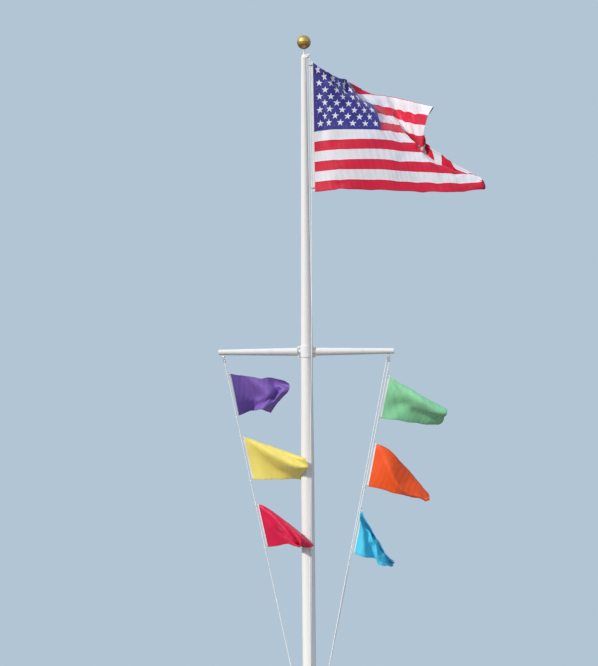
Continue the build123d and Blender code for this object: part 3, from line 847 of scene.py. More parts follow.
@dataclass
class WindCloth:
    """A flag held at its hoist and blown into folds that pass its anchors.

    The cloth starts as a smooth surface through the anchors. It then settles: every thread goes back to its
    cut length, sharp bends are smoothed, and the anchors hold the folds on their lines of sight.

    A thread resists being pushed together by push of what it resists being stretched, and a fold by bend once
    its points come closer than softness of their flat distance. A hidden anchor holds the cloth less across
    its line of sight and more along it.
    """

    width: float
    length: float
    hoist: tuple[Point, Point]
    anchors: list[Anchor]
    sight: Sight
    levels: list[Level]
    softness: float = 0.6
    push: float = 0.12
    bend: float = 0.35
    speed: float = 1.6
    smoothing: float = 0.3
    smooth_every: int = 3
    hidden_across: float = 0.4
    hidden_along: float = 3.0
    plate_slack: float = 0.002
    hoist_points: int = 5

    def held(self, count: int) -> np.ndarray:
        """Return evenly spaced points along the hoist."""
        top, foot = (np.array(end, float) for end in self.hoist)
        return top + (foot - top) * np.linspace(0, 1, count)[:, None]

    def places(self) -> np.ndarray:
        """Return where each anchor lies, in millimetres."""
        return np.array([tuple(self.sight.point(a.px, a.py, a.depth)) for a in self.anchors])

    def surface(self, level: Level) -> np.ndarray:
        """Return a thin-plate surface through the anchors as a grid of points."""
        hoist = [(0, down) for down in np.linspace(0, self.length, self.hoist_points)]
        flat = np.array([(a.u, a.v) for a in self.anchors] + hoist, float) / METRE
        places = np.vstack([self.places(), self.held(self.hoist_points)])
        u, v = np.meshgrid(np.linspace(0, self.width, level.columns), np.linspace(0, self.length, level.rows))
        wanted = np.stack([u.ravel(), v.ravel()], 1) / METRE

        def spline(points: np.ndarray) -> np.ndarray:
            """Return the thin-plate value of every pair of points."""
            apart = np.linalg.norm(points[:, None] - flat[None], axis=2)
            return np.where(apart > 0, apart * apart * np.log(apart + 1e-12), 0)

        count = len(flat)
        system = np.zeros((count + 3, count + 3))
        system[:count, :count] = spline(flat) + self.plate_slack * np.eye(count)
        system[:count, count:] = np.hstack([np.ones((count, 1)), flat])
        system[count:, :count] = system[:count, count:].T
        weights = np.linalg.solve(system, np.vstack([places, np.zeros((3, 3))]))
        grid = spline(wanted) @ weights[:count] + np.hstack([np.ones((len(wanted), 1)), wanted]) @ weights[count:]
        return grid.reshape(level.rows, level.columns, 3)

    def pulls(self, level: Level) -> tuple[np.ndarray, np.ndarray]:
        """Return where each anchor reads the grid, and how its pull is shared out."""
        du, dv = self.width / (level.columns - 1), self.length / (level.rows - 1)
        u, v = np.meshgrid(np.arange(level.columns) * du, np.arange(level.rows) * dv)
        flat = np.array([(a.u, a.v) for a in self.anchors], float)
        apart = (flat[:, None, 0] - u.ravel()) ** 2 + (flat[:, None, 1] - v.ravel()) ** 2
        reading = np.zeros_like(apart)
        for row, (a, b) in enumerate(flat):
            i, j = min(int(a / du), level.columns - 2), min(int(b / dv), level.rows - 2)
            s, t = a / du - i, b / dv - j
            for dj, di, share in ((0, 0, (1 - s) * (1 - t)), (0, 1, s * (1 - t)), (1, 0, (1 - s) * t), (1, 1, s * t)):
                reading[row, (j + dj) * level.columns + i + di] += share
        spread = np.exp(-apart / (2 * level.reach**2))
        spread[spread < 0.01] = 0
        return reading, spread / np.maximum(1.0, spread.sum(0, keepdims=True))

    def threads(self, level: Level) -> list[tuple]:
        """Return each family of threads: its two ends, its length and whether it only resists bending."""
        du, dv = self.width / (level.columns - 1), self.length / (level.rows - 1)
        families = []
        for j, i in ((0, 1), (1, 0), (1, 1), (1, -1), (0, 2), (2, 0)):
            near = (slice(0, level.rows - j), slice(max(0, -i), level.columns - max(0, i)))
            far = (slice(j, level.rows), slice(max(0, i), level.columns + min(0, i)))
            families.append((near, far, math.hypot(i * du, j * dv), max(abs(i), j) > 1))
        return families

    @staticmethod
    def smoothed(grid: np.ndarray, share: float = 0.5) -> np.ndarray:
        """Return the grid with its sharpest bends taken out."""

        def bend(values: np.ndarray) -> np.ndarray:
            """Return how far each point lies from its neighbours' middle."""
            out = np.zeros_like(values)
            sides = values[:-2, 1:-1] + values[2:, 1:-1] + values[1:-1, :-2] + values[1:-1, 2:]
            out[1:-1, 1:-1] = sides / 4 - values[1:-1, 1:-1]
            for edge in (0, -1):
                out[edge, 1:-1] = (values[edge, :-2] + values[edge, 2:]) / 2 - values[edge, 1:-1]
            out[1:-1, -1] = (values[:-2, -1] + values[2:, -1]) / 2 - values[1:-1, -1]
            return out

        return grid - share * bend(bend(grid))

    def settle(self, grid: np.ndarray, level: Level) -> np.ndarray:
        """Return the grid after its threads and anchors have come to rest.

        Args:
            grid: The points, rows by columns by three.
            level: How long it settles, and how hard the anchors pull.

        Returns:
            The settled points.
        """
        reading, sharing = self.pulls(level)
        families = self.threads(level)
        count = np.zeros((level.rows, level.columns, 1))
        for near, far, _, stiff in families:
            for ends in (near, far):
                count[ends] += self.bend if stiff else 1
        wanted, held = self.places(), self.held(level.rows)
        lines = np.array([tuple(self.sight.ray(a.px, a.py).normalized()) for a in self.anchors])
        unseen = np.array([a.knowing is Knowing.HIDDEN for a in self.anchors])[:, None]
        across_hold = np.where(unseen, self.hidden_across * level.hold, level.hold)
        along_hold = np.where(unseen, self.hidden_along * level.depth_hold, level.depth_hold)
        for step in range(level.steps):
            moves = np.zeros_like(grid)
            for near, far, rest, stiff in families:
                line = grid[far] - grid[near]
                size = np.linalg.norm(line, axis=2, keepdims=True) + 1e-9
                if stiff:
                    pull = self.bend * np.minimum(0, size - rest * self.softness) / size
                else:
                    pull = (size - rest) / size
                    pull = np.where(pull < 0, self.push * pull, pull)
                moves[near] += 0.5 * pull * line
                moves[far] -= 0.5 * pull * line
            grid = grid + self.speed * moves / count
            if step % self.smooth_every == 0:
                grid = self.smoothed(grid, self.smoothing)
            off = wanted - reading @ grid.reshape(-1, 3)
            along = (off * lines).sum(1, keepdims=True) * lines
            pull = across_hold * (off - along) + along_hold * along
            grid = grid + (sharing.T @ pull).reshape(grid.shape)
            grid[:, 0] = held
        return grid

    @staticmethod
    def finer(grid: np.ndarray) -> np.ndarray:
        """Return the grid with a new point between each two."""
        rows, columns, _ = grid.shape
        out = np.zeros((2 * rows - 1, 2 * columns - 1, 3))
        out[::2, ::2] = grid
        out[1::2, ::2] = (grid[:-1] + grid[1:]) / 2
        out[:, 1::2] = (out[:, :-2:2] + out[:, 2::2]) / 2
        return out

    def blown(self) -> np.ndarray:
        """Return the settled cloth with its last bends smoothed, in millimetres."""
        made = self.surface(self.levels[0])
        for number, level in enumerate(self.levels):
            if number:
                made = self.finer(made)
            made = self.settle(made, level)
        return self.smoothed(self.finer(made))


@dataclass(frozen=True)
class Settling:
    """How a cloth settles: its first grid, the steps of each pass, and how the anchors' pull eases.

    Reach is how far round an anchor its pull is felt in the first pass, in millimetres.
    """

    columns: int
    rows: int
    reach: float
    passes: tuple[int, ...]
    quick_passes: tuple[int, ...] = (200, 200)
    hold: float = 0.5
    hold_drop: float = 0.08
    depth_hold: float = 0.02
    depth_ease: float = 2.5
    reach_ease: float = 1.65

    def levels(self) -> list[Level]:
        """Return the settling passes in order, each with twice the points of the last."""
        out = []
        columns, rows = self.columns, self.rows
        for number, steps in enumerate(self.passes):
            hold, depth_hold = self.hold - self.hold_drop * number, self.depth_hold / self.depth_ease**number
            out.append(Level(columns, rows, steps, hold, depth_hold, self.reach / self.reach_ease**number))
            columns, rows = 2 * columns - 1, 2 * rows - 1
        return out


@dataclass(frozen=True)
class Creases:
    """Small creases pushed in and out along a cloth's normals, with lengths in millimetres.

    Each set of waves has its waves across, its waves down, its height and its phase.
    """

    waves: tuple[tuple[float, float, float, float], ...]
    swell_across: float = 173.0
    swell_down: float = 131.0
    swell_middle: float = 0.55
    swell_half: float = 0.45
    fade: float = 40.0

    def pressed(self, grid: np.ndarray, width: float, length: float) -> np.ndarray:
        """Return the grid of a cloth of that cut width and length with the creases in it."""
        rows, columns, _ = grid.shape
        normal = np.cross(np.gradient(grid, axis=1), np.gradient(grid, axis=0))
        normal /= np.linalg.norm(normal, axis=2, keepdims=True) + 1e-9
        u, v = np.meshgrid(np.linspace(0, width, columns), np.linspace(0, length, rows))
        push = np.zeros_like(u)
        for across, down, height, phase in self.waves:
            turn = u / self.swell_across + v / self.swell_down + phase * 2
            swell = self.swell_middle + self.swell_half * np.sin(turn)
            push += height * swell * np.sin(2 * math.pi * (across * u + down * v) + phase)
        return grid + normal * (push * np.clip(u / self.fade, 0, 1))[..., None]


def flat_map(shape: bmesh.types.BMesh, flat: Callable[[Vector], tuple[float, float]]) -> None:
    """Give a sheet its UV map: the place on the flat cloth, in metres, of each corner."""
    layer = shape.loops.layers.uv.new("UVMap")
    for face in shape.faces:
        for loop in face.loops:
            loop[layer].uv = flat(loop.vert.co)


def sheet_piece(
    name: str, grid: np.ndarray, size: tuple[float, float], thickness: float, finish: Finish
) -> bpy.types.Object:
    """Make a thin sheet of cloth of a grid of points.

    Args:
        name: The piece's name.
        grid: The points, in millimetres.
        size: The cut width and length, in metres.
        thickness: The cloth's thickness, in metres.
        finish: What it is made of.

    Returns:
        The new object.
    """
    rows, columns, _ = grid.shape
    shape = bmesh.new()
    bmesh.ops.create_grid(shape, x_segments=columns - 1, y_segments=rows - 1, size=0.5)
    flat_map(shape, lambda spot: ((spot.x + 0.5) * size[0], (0.5 - spot.y) * size[1]))
    for vert in shape.verts:
        column, row = round((vert.co.x + 0.5) * (columns - 1)), round((0.5 - vert.co.y) * (rows - 1))
        vert.co = Vector(grid[row, column]) * MM
    made = piece(name, shape, finish)
    thicken(made, thickness)
    return made


def seen(rows: Iterable[Row]) -> list[Anchor]:
    """Return anchors for points that the picture shows."""
    return [Anchor(*row) for row in rows]


def hidden(rows: Iterable[Row]) -> list[Anchor]:
    """Return anchors for points behind other cloth."""
    return [Anchor(*row, knowing=Knowing.HIDDEN) for row in rows]


def along(rows: list[Row], parts: int = 3) -> list[Row]:
    """Return a line of anchor places with evenly spaced ones put in between.

    Args:
        rows: Places on the cloth and in the picture, in order along a line.
        parts: Parts that each stretch is split into.

    Returns:
        The fuller line.
    """
    out = [rows[0]]
    for start, end in zip(rows, rows[1:]):
        for part in range(1, parts + 1):
            out.append(tuple(a + (b - a) * part / parts for a, b in zip(start, end)))
    return out


def hang(
    name: str, node: str, cloth: WindCloth, creases: Creases, thickness: float, finish: Finish
) -> None:
    """Args:
        name: The flag's name.
        node: The node that it replaces.
        cloth: The cloth to blow.
        creases: The small creases in it.
        thickness: The cloth's thickness, in metres.
        finish: What it is made of.
    """
    size = (cloth.width * MM, cloth.length * MM)
    grid = creases.pressed(cloth.blown(), cloth.width, cloth.length)
    flag = sheet_piece(name, grid, size, thickness, finish)
    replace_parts(flag, node)


@dataclass
class Ensign:
    """The large flag with its canvas heading and two grommets, in millimetres.

    Anchors are rows of a place on the cloth, its column and row in the picture, and its depth.
    """

    sight: Sight
    width: float = 1803.0
    length: float = 1219.0
    thickness: float = 0.9
    star_step: float = 0.7
    heading: float = 24.0
    tape_corner: float = 5.0
    tape_thickness: float = 3.4
    tape_edge: float = 0.8
    eyelet_inset: float = 33.0
    eyelet_bore: float = 12.0
    eyelet_hole: float = 13.2
    eyelet_sides: int = 32
    hem: float = 13.0
    hoist_px: tuple[tuple[float, float], tuple[float, float]] = ((312.9, 62.4), (315.1, 191.9))
    hoist_depth: float = -50.0
    settling: Settling = Settling(31, 21, 60.0, (400, 600, 600))
    creases: Creases = Creases((
        (1 / 43, -1 / 150, 0.7, 0.4), (1 / 67, -1 / 210, 1.1, 1.9),
        (1 / 131, -1 / 170, 1.4, 3.1), (1 / 29, -1 / 120, 0.4, 5.0),
    ))

    def by_stripe(self, *rows: Row) -> list[Row]:
        """Return rows whose second number counts stripes with it turned into a length down the hoist."""
        return [(u, self.length * number / StarsAndStripes.stripes, *rest) for u, number, *rest in rows]

    def stars(self) -> list[Anchor]:
        """Return the canton's stars that the picture shows, row by row."""
        rows = {
            9: ((61, 320.7, 123.5, -60), (183, 328.7, 122.6, -90), (305, 340.2, 122.4, -115),
                (427, 352.7, 123.3, -135), (549, 365.5, 123.7, -140), (671, 375.8, 123.7, -125)),
            7: ((61, 320.1, 109.9, -60), (183, 329.5, 108.9, -85), (305, 342.2, 109.9, -100),
                (427, 354.7, 110.3, -95), (549, 364.7, 110.3, -65), (671, 372.1, 109.9, -5)),
            6: ((488, 359, 104.2, -40), (610, 366.1, 104.2, 40)),
            5: ((61, 319.5, 96.5, -60), (183, 330.8, 96.6, -80), (305, 343.2, 97, -70), (427, 353.1, 97.3, -10)),
            4: ((122, 325.1, 89.8, -70), (244, 337.1, 90.2, -60)),
            3: ((61, 319.2, 82.8, -55), (183, 331.1, 83.1, -60), (305, 338.8, 84, 0), (427, 343.6, 86.3, 90)),
            2: ((122, 324.2, 76.8, -55), (244, 332.8, 79.7, 0)),
            1: ((61, 317.7, 70.1, -50),),
        }
        return seen(self.by_stripe(*(
            (u, self.star_step * row, *rest) for row, places in rows.items() for u, *rest in places
        )))

    def seams(self) -> list[Anchor]:
        """Return points on the stripes' seams over the main panel and its ridge."""
        points = []
        for number, near, far in (
            (8, 139.7, 142.3), (9, 149.2, 151), (10, 159.8, 161.6), (11, 169.1, 170.8), (12, 180, 181.5),
            (13, 188.7, 191),
        ):
            fly_depth = -140 - 6 * (number - 8)
            points += self.by_stripe((305, number, 340.2, near, -115), (890, number, 399.5, far, fly_depth))
        return seen(points + self.by_stripe(
            (731, 7, 381.5, 130.4, -110), (731, 6, 379.8, 121.2, -50), (731, 5, 377.4, 112.4, 30),
            (731, 4, 372.4, 104.4, 170), (1030, 8, 414.6, 142.9, -60), (1105, 9, 422.4, 152.6, -100),
            (1175, 10, 431.1, 162.3, -130), (1060, 11, 417.5, 172, -135), (1230, 11, 436.5, 172.9, -140),
            (1388, 11, 455, 174.4, -135), (1560, 11, 473.6, 175, -100), (1230, 10.15, 437.8, 165.6, -130),
            (1285, 10.3, 444, 167.4, -130), (1358, 10.45, 452.1, 169.3, -125), (1458, 10.65, 462.8, 171.8, -110),
            (1540, 10.8, 471.2, 173.2, -90), (1610, 11.4, 478.9, 176.7, -95), (1652, 12.5, 484, 184.2, -105),
            (1060, 12, 417, 182.6, -140), (1240, 12, 438, 183.6, -145), (1436, 12, 460.2, 183.6, -145),
            (1625, 12, 481.5, 180.2, -110), (600, 13, 370.5, 190.2, -140), (1085, 13, 422.4, 192.6, -145),
            (1290, 13, 444.2, 192.2, -150), (1490, 13, 466, 191.4, -145), (1675, 13, 485.4, 188.3, -110),
        ))

    def valley(self) -> list[Anchor]:
        """Return points where the cloth turns away from the canton and comes back to the fly."""
        points = self.by_stripe(
            (840, 7, 390.4, 130.9, -50), (1010, 7, 402, 132.9, 70), (964, 6, 389.3, 123.3, 165),
            (1195, 6, 399.5, 125.9, 370), (1400, 6, 408.4, 133, 200), (1570, 6, 414.8, 135, 45),
            (1803, 6, 424.4, 135.2, -150), (1015, 5, 386.7, 115.6, 300), (1155, 5, 394.4, 117, 415),
            (1262, 5, 402, 120.2, 343), (1479, 5, 411, 122.8, 145), (1803, 5, 425.3, 125.2, -130),
            (1010, 4, 382.9, 106.8, 410), (1134, 4, 394.4, 109.3, 440), (1329, 4, 404.6, 112, 300),
            (1542, 4, 414.8, 114.4, 125), (1803, 4, 428.2, 115.6, -100),
        )
        points += along(self.by_stripe(
            (731, 3, 349.1, 92.1, 350), (835, 3, 360, 94.2, 400), (935, 3, 372, 94.9, 430), (1040, 3, 384, 96, 435),
            (1190, 3, 396, 98.2, 430), (1410, 3, 408.5, 101, 255), (1630, 3, 420, 103.8, 60),
            (1803, 3, 433.6, 107, -80),
        ))
        points += along([(731, 195, 349.1, 82.2, 350), (800, 216, 356.5, 86.0, 385), (900, 250, 364.5, 90.6, 430)], 2)
        return seen(points)

    def flap(self) -> list[Anchor]:
        """Return points on the lower fly, which shows again behind the ridge."""
        return seen(self.by_stripe(
            (1803, 7, 425.8, 142.9, 0), (1700, 7, 421.1, 147.7, 20), (1803, 9, 430.1, 146.3, 20),
            (1720, 9, 432.3, 151.9, 20), (1635, 9, 435.1, 164.5, 20), (1803, 10, 441.5, 153.9, 0),
            (1690, 10, 442.3, 166.2, 20), (1803, 11, 450.5, 160.9, -20), (1740, 11, 454.5, 168, -20),
            (1803, 12, 469.8, 171.6, 30), (1803, 13, 479.6, 178.6, 20),
        ))

    def unseen(self) -> list[Anchor]:
        """Return points behind the canton, the upper ridge and the lower ridge, and the ridge itself."""
        points = self.by_stripe(
            (1330, 8, 424, 158, 220), (1390, 9, 433, 168, 130), (1500, 10, 452, 174, 10),
            (1740, 12.2, 480.5, 178, -30), (1740, 12.9, 484.2, 184.5, -35),
        )
        points += along([
            (60, 0, 317.3, 69.4, -30), (140, 0, 323.6, 78, 0), (250, 0, 332, 87, 45), (340, 0, 338.5, 93.5, 110),
            (430, 0, 344.5, 100, 180), (731, 0, 351, 102, 420), (935, 0, 373, 122, 450), (1040, 0, 384, 124.5, 462),
            (1190, 0, 395, 126, 462), (1410, 0, 406, 128.5, 330), (1630, 0, 416, 131, 130), (1803, 0, 419.5, 133, 20),
        ], 2)
        points += along([
            (250, 56, 333, 81.5, 15), (430, 92, 345.3, 90.5, 165), (731, 98, 350, 92, 400), (935, 140, 372, 109, 442),
            (1040, 140, 384, 110.5, 458), (1190, 140, 395.5, 112, 460), (1410, 140, 407.5, 115, 305),
            (1630, 140, 418, 117.5, 105), (1803, 140, 425.5, 119.5, -20),
        ])
        return hidden(points) + seen(along([
            (24, 8, 314.9, 64, -50), (62, 30, 317.9, 66.4, -50), (142, 70, 324.7, 70.6, -50),
            (250, 112, 333.4, 75.6, -15), (340, 150, 339.8, 78.2, 50), (440, 178, 345.4, 80.4, 150),
            (731, 195, 349.1, 82.2, 350),
        ]))

    def tape(self) -> None:
        """Cut the canvas heading with its two eyelet holes, and set the eyelets in them."""
        low, high = (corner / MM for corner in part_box("ensign_heading"))
        top, across = Vector((low.x, (low.y + high.y) / 2, high.z)), Vector((self.heading, 0, 0))
        lean = Vector((high.x - low.x - self.heading, 0, low.z - high.z))
        side, end = self.tape_corner / self.heading, self.tape_corner / -lean.z
        corners = (
            (side, 0), (1 - side, 0), (1, end), (1, 1 - end), (1 - side, 1), (side, 1), (0, 1 - end), (0, end),
        )
        rings = [[top + across * right + lean * down for right, down in corners]]
        inset = self.eyelet_inset / -lean.z
        eyes = [top + across / 2 + lean * down for down in (inset, 1 - inset)]
        turns = [2 * math.pi * step / self.eyelet_sides for step in range(self.eyelet_sides)]
        for middle in eyes:
            rings.append([middle + Vector((math.cos(a), 0, math.sin(a))) * (self.eyelet_hole / 2) for a in turns])
        shape = bmesh.new()
        for ring in rings:
            verts = [shape.verts.new(point * MM) for point in ring]
            for pair in zip(verts, verts[1:] + verts[:1]):
                shape.edges.new(pair)
        bmesh.ops.triangle_fill(shape, use_beauty=True, use_dissolve=False, edges=shape.edges[:])

        def flat(place: Vector) -> tuple[float, float]:
            """Return a corner's place on the flat tape."""
            spot = place / MM - top
            return (spot.x - lean.x * (spot.z / lean.z)) * MM, -spot.z * MM

        flat_map(shape, flat)
        band = piece("heading_tape", shape, Shop.tape, smooth=False)
        thicken(band, self.tape_thickness * MM)
        edge = band.modifiers.new("edge", "BEVEL")
        edge.width = self.tape_edge * MM
        edge.segments = 2
        edge.limit_method = "ANGLE"
        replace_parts(band, "ensign_heading")
        self.heading * MM
        self.eyelets(eyes)

    def eyelets(self, middles: list[Vector]) -> None:
        """Spin the rolled eyelets round the middles of the tape's holes."""
        bore, face = self.eyelet_bore / 2 * MM, self.tape_thickness / 2 * MM
        # Each step of the rim: how far outside the bore and beyond the tape's face, in metres.
        rim = ((0, 0.0004), (0.0012, 0.0013), (0.0034, 0.0009), (0.0044, 0), (0.0012, -0.0002))
        profile = [(bore + out, -face - rise) for out, rise in rim]
        profile += [(radius, -height) for radius, height in reversed(profile)]
        profile.append(profile[0])
        shape = bmesh.new()
        for middle in middles:
            spun(shape, profile, Matrix.Translation(middle * MM) @ Matrix.Rotation(math.pi / 2, 4, "X"), 40)
        piece("heading_eyelets", shape, Shop.bronze)

    def build(self) -> None:
        """Build the heading, and hang the flag from it."""
        self.tape()
        hoist = tuple(tuple(self.sight.point(*px, self.hoist_depth)) for px in self.hoist_px)
        anchors = self.stars() + self.seams() + self.valley() + self.flap() + self.unseen()
        cloth = WindCloth(self.width, self.length, hoist, anchors, self.sight, self.settling.levels())
        size = (self.width * MM, self.length * MM)
        colours = {"white": Colour.WHITE.value, "blue": Colour.NAVY.value}
        finish = StarsAndStripes("ensign_nylon", Colour.RED.value, *size, hem=self.hem * MM, **colours)
        hang("ensign_cloth", "ensign", cloth, self.creases, self.thickness * MM, finish)


@dataclass
class SmallFlag:
    """One small plain flag on a yard halyard, in millimetres; its anchors lie on a drawn cloth of 660 by 420."""

    name: str
    colour: Colour
    side: int
    nudge: tuple[float, float]
    anchors: list[Anchor]
    sight: Sight
    seed: float
    width: float = 610.0
    length: float = 406.0
    drawn_width: float = 660.0
    drawn_length: float = 420.0
    heading: float = 14.0
    lean: float = 85.0
    halyard_depth: float = 7.0
    rope_gap: float = 18.0
    knot_beyond: float = 10.0
    knot_radius: float = 9.0
    knot_depth: float = 7.2
    knot_line: float = 2.6
    knot_points: int = 24
    thickness: float = 0.8
    settling: Settling = Settling(23, 15, 45.0, (300, 400, 300))

    def placed(self, anchor: Anchor) -> Anchor:
        """Return an anchor moved from the drawn cloth to the flag's own lengths and halyard."""
        u = self.heading + anchor.u * (self.width - self.heading) / self.drawn_width
        v = anchor.v * self.length / self.drawn_length
        nudge = self.nudge[0] + (self.nudge[1] - self.nudge[0]) * v / self.length
        return replace(anchor, u=u, v=v, px=anchor.px + nudge)

    def hoist(self) -> tuple[Point, Point]:
        """Return the hoist's two ends beside the halyard."""
        low, high = (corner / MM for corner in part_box(f"{self.name}_flag"))
        top_x, foot_x = (low.x, low.x + self.lean) if self.side < 0 else (low.x + self.lean, low.x)
        depth = self.halyard_depth * self.side
        return (top_x, depth, high.z), (foot_x, depth, high.z - self.length)

    def knots(self) -> None:
        """Tie a thin white line round the halyard at each end of the hoist."""
        top, foot = (Vector(end) for end in self.hoist())
        down = (foot - top).normalized()
        turn = down.to_track_quat("Z", "Y").to_matrix().to_4x4()
        shape = bmesh.new()
        for corner, way in ((top, -1), (foot, 1)):
            place = corner - Vector((self.rope_gap, 0, 0)) + down * way * self.knot_beyond
            line = bpy.data.curves.new("knot", "CURVE")
            line.dimensions = "3D"
            line.bevel_depth = self.knot_line * MM
            line.bevel_resolution = 2
            line.resolution_u = 3
            loop = line.splines.new("NURBS")
            loop.points.add(self.knot_points - 1)
            for number, point in enumerate(loop.points):
                angle = 2 * math.pi * number / self.knot_points
                x = self.knot_radius * (math.sin(angle) + 2 * math.sin(2 * angle)) / 3
                y = self.knot_radius * (math.cos(angle) - 2 * math.cos(2 * angle)) / 3
                spot = turn @ Vector((x, y, -self.knot_depth * math.sin(3 * angle)))
                point.co = (*((place + spot) * MM), 1)
            loop.use_cyclic_u = True
            loop.order_u = 4
            holder = bpy.data.objects.new("knot", line)
            mesh = bpy.data.meshes.new_from_object(holder)
            shape.from_mesh(mesh)
            bpy.data.objects.remove(holder)
            bpy.data.meshes.remove(mesh)
            bpy.data.curves.remove(line)
        piece(f"{self.name}_hoist_knots", shape, Shop.rope)

    def build(self) -> None:
        """Hang the flag from its halyard, and tie it on."""
        anchors = [self.placed(anchor) for anchor in self.anchors]
        cloth = WindCloth(self.width, self.length, self.hoist(), anchors, self.sight, self.settling.levels())
        creases = Creases(((1 / 52, 1 / 210, 0.5, self.seed), (1 / 85, -1 / 160, 0.7, self.seed + 2)))
        size, heading = (self.width * MM, self.length * MM), self.heading * MM
        finish = Bunting(f"{self.name}_nylon", self.colour.value, *size, heading=heading)
        halyard = f"{'left' if self.side < 0 else 'right'}_halyard"
        hang(f"{self.name}_cloth", f"{self.name}_flag", cloth, creases, self.thickness * MM, finish)
        self.knots()


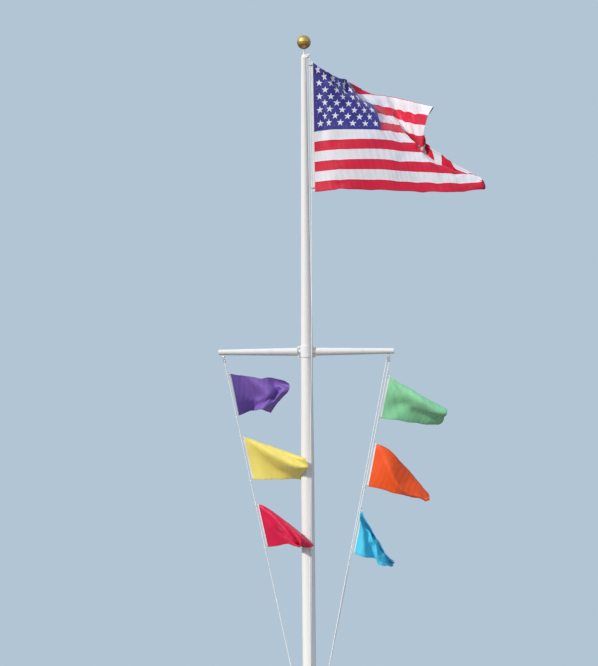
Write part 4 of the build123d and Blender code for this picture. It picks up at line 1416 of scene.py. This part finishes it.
def small_flags(sight: Sight) -> list[SmallFlag]:
    """Return the six small flags, three on each yard arm, from the top down."""
    purple = seen([
        (185, 0, 247, 376, 25), (330, 0, 260.8, 378.6, 0), (520, 0, 276.5, 378.7, 45), (655, 0, 286.6, 381.8, 0),
        (185, 210, 252.9, 395.5, 85), (385, 210, 268, 394.8, -45), (500, 210, 275.8, 393.5, 45),
        (610, 210, 281.6, 393.6, -5), (655, 320, 276.8, 403.6, 60), (230, 420, 253.4, 410.6, 140),
        (450, 420, 262.6, 409.8, -45), (655, 420, 270.6, 412.8, 90),
    ])
    yellow = seen([
        (150, 0, 257.6, 441.3, -25), (300, 0, 271.6, 446, -45), (450, 0, 286, 451.2, -80),
        (560, 0, 296.8, 455.2, -110), (655, 0, 305.4, 458.3, -135), (150, 60, 258, 446.4, -55),
        (300, 110, 272.5, 455, -110), (450, 130, 287.5, 461, -140), (560, 140, 298, 464.6, -160),
        (120, 250, 260, 462, -5), (320, 270, 278.5, 467, -20), (490, 280, 294, 471.2, -80),
        (150, 420, 266.3, 479.9, -25), (310, 420, 281.4, 479.5, 20), (470, 420, 295.6, 478.9, 55),
        (635, 130, 305.4, 464.8, -160), (620, 270, 304.6, 471, -95), (590, 420, 302.6, 478.2, 50),
    ]) + hidden([(655, 420, 298.5, 477.4, 80)])
    red = seen([
        (102, 0, 267, 507.6, -20), (174, 0, 273, 511.5, -30), (274, 0, 281.5, 517.8, -50), (403, 0, 293, 526.6, -85),
        (504, 0, 301.2, 533.4, -115), (577, 0, 307.1, 538.9, -125), (655, 0, 313.9, 545, -120),
        (120, 60, 268.5, 513, -60), (290, 110, 283, 524.5, -120), (430, 125, 293.5, 533.5, -160),
        (560, 130, 302, 541.5, -185), (100, 420, 275, 546.2, -20), (210, 420, 284, 544.2, -65),
        (330, 420, 295, 543.2, -110), (150, 250, 273.5, 530, -60), (300, 260, 286.5, 535, -105),
        (655, 110, 304.4, 547, -150), (520, 230, 301, 545.5, -150),
    ]) + hidden([(450, 420, 291, 541.5, -60), (600, 420, 284, 539.5, -30), (655, 300, 293, 541.5, -90)])
    green = seen([
        (120, 0, 399.6, 382, -15), (330, 0, 418.6, 392.6, -35), (540, 0, 437.6, 403, -35),
        (655, 0, 447.6, 408.6, -20), (160, 70, 404, 390.4, -55), (390, 95, 424, 401.6, -100),
        (540, 105, 438, 410.5, -95), (180, 220, 403.5, 402, 25), (385, 230, 420.5, 409, 0), (520, 240, 433, 414, 10),
        (655, 210, 447.4, 416, -10), (200, 420, 402, 420, 15), (400, 420, 420, 422.8, 80),
        (560, 420, 434, 424.6, 120), (655, 420, 442.2, 424.6, 150), (655, 320, 446, 421, 70),
    ])
    orange = seen([
        (92, 0, 387.0, 446.3, -15), (150, 0, 392.4, 449.6, -25),
        *along([(226, 0, 398.6, 455.6, -20), (440, 175, 415.6, 475.4, 35), (625, 320, 430.6, 493.0, 10)], 7),
        (140, 210, 388, 467.5, -50), (300, 165, 401.5, 470.8, -85), (390, 225, 408.5, 481.5, -95),
        (490, 300, 417.5, 489.5, -80), (600, 350, 427.6, 495.4, -45), (655, 370, 432.6, 497.4, -15),
        (240, 420, 395, 492.6, -45), (400, 420, 411.5, 496.2, -50), (560, 420, 426, 499.4, -40),
        (655, 420, 432.8, 500.4, -25),
    ]) + hidden([
        (400, 20, 403, 467, 90), (530, 100, 409, 480, 115), (655, 0, 399, 487, 150), (655, 190, 418, 492, 95),
    ])
    blue = seen([
        (72, 0, 368.8, 516.8, -10), (131, 0, 371.9, 522.2, -15), (218, 0, 376.4, 529.8, -20),
        (304, 0, 380.8, 537.6, -20), (404, 0, 386, 546.6, -15), (490, 0, 390.6, 554, -10), (570, 0, 394.8, 558.6, 0),
        (655, 0, 398.6, 562, 10), (84, 210, 368.4, 534.2, -45), (162, 210, 373, 535.4, 0),
        (242, 210, 377.4, 538.8, -40), (330, 210, 382.4, 541.5, 10), (126, 315, 369.8, 546, -62),
        (243, 315, 376.6, 547, 0), (362, 315, 383, 553.4, -55), (495, 315, 390.6, 555.6, 15),
        (168, 420, 371.4, 557.6, -75), (323, 420, 380.6, 558.8, 0), (483, 420, 389, 566, -65),
        (570, 420, 394.2, 566, -20), (655, 420, 398.2, 564.6, 35),
    ]) + hidden([
        (300, 90, 377.5, 535.5, 70), (480, 140, 385.5, 549.5, 110), (570, 200, 392.2, 557.6, 120),
        (655, 105, 398.2, 562.4, 95), (655, 210, 398, 563, 165), (655, 315, 398, 563.8, 110),
    ])
    rows = (
        ("purple", Colour.PURPLE, -1, (-0.4, 0.0), purple),
        ("yellow", Colour.YELLOW, -1, (0.0, 0.0), yellow),
        ("red", Colour.SCARLET, -1, (0.0, 0.6), red),
        ("green", Colour.GREEN, 1, (-1.5, -3.7), green),
        ("orange", Colour.ORANGE, 1, (-3.2, -3.6), orange),
        ("blue", Colour.SKY_BLUE, 1, (-4.6, -5.3), blue),
    )
    return [SmallFlag(*row, sight, 1.3 * number) for number, row in enumerate(rows)]


def main() -> None:
    """Build the stage and the flagpole, piece by piece."""
    logging.basicConfig(level=logging.INFO, format="%(name)s: %(message)s")
    bpy.context.scene.view_settings.view_transform = "Standard"
    sight = Sight()
    sight.build()
    Stage().build()
    for assembly in (PoleAssembly(), TruckAssembly(), YardAssembly(), Rigging(), Ensign(sight), *small_flags(sight)):
        assembly.build()
        log.info("built %s", getattr(assembly, "name", type(assembly).__name__))


if __name__ == "__main__":
    main()
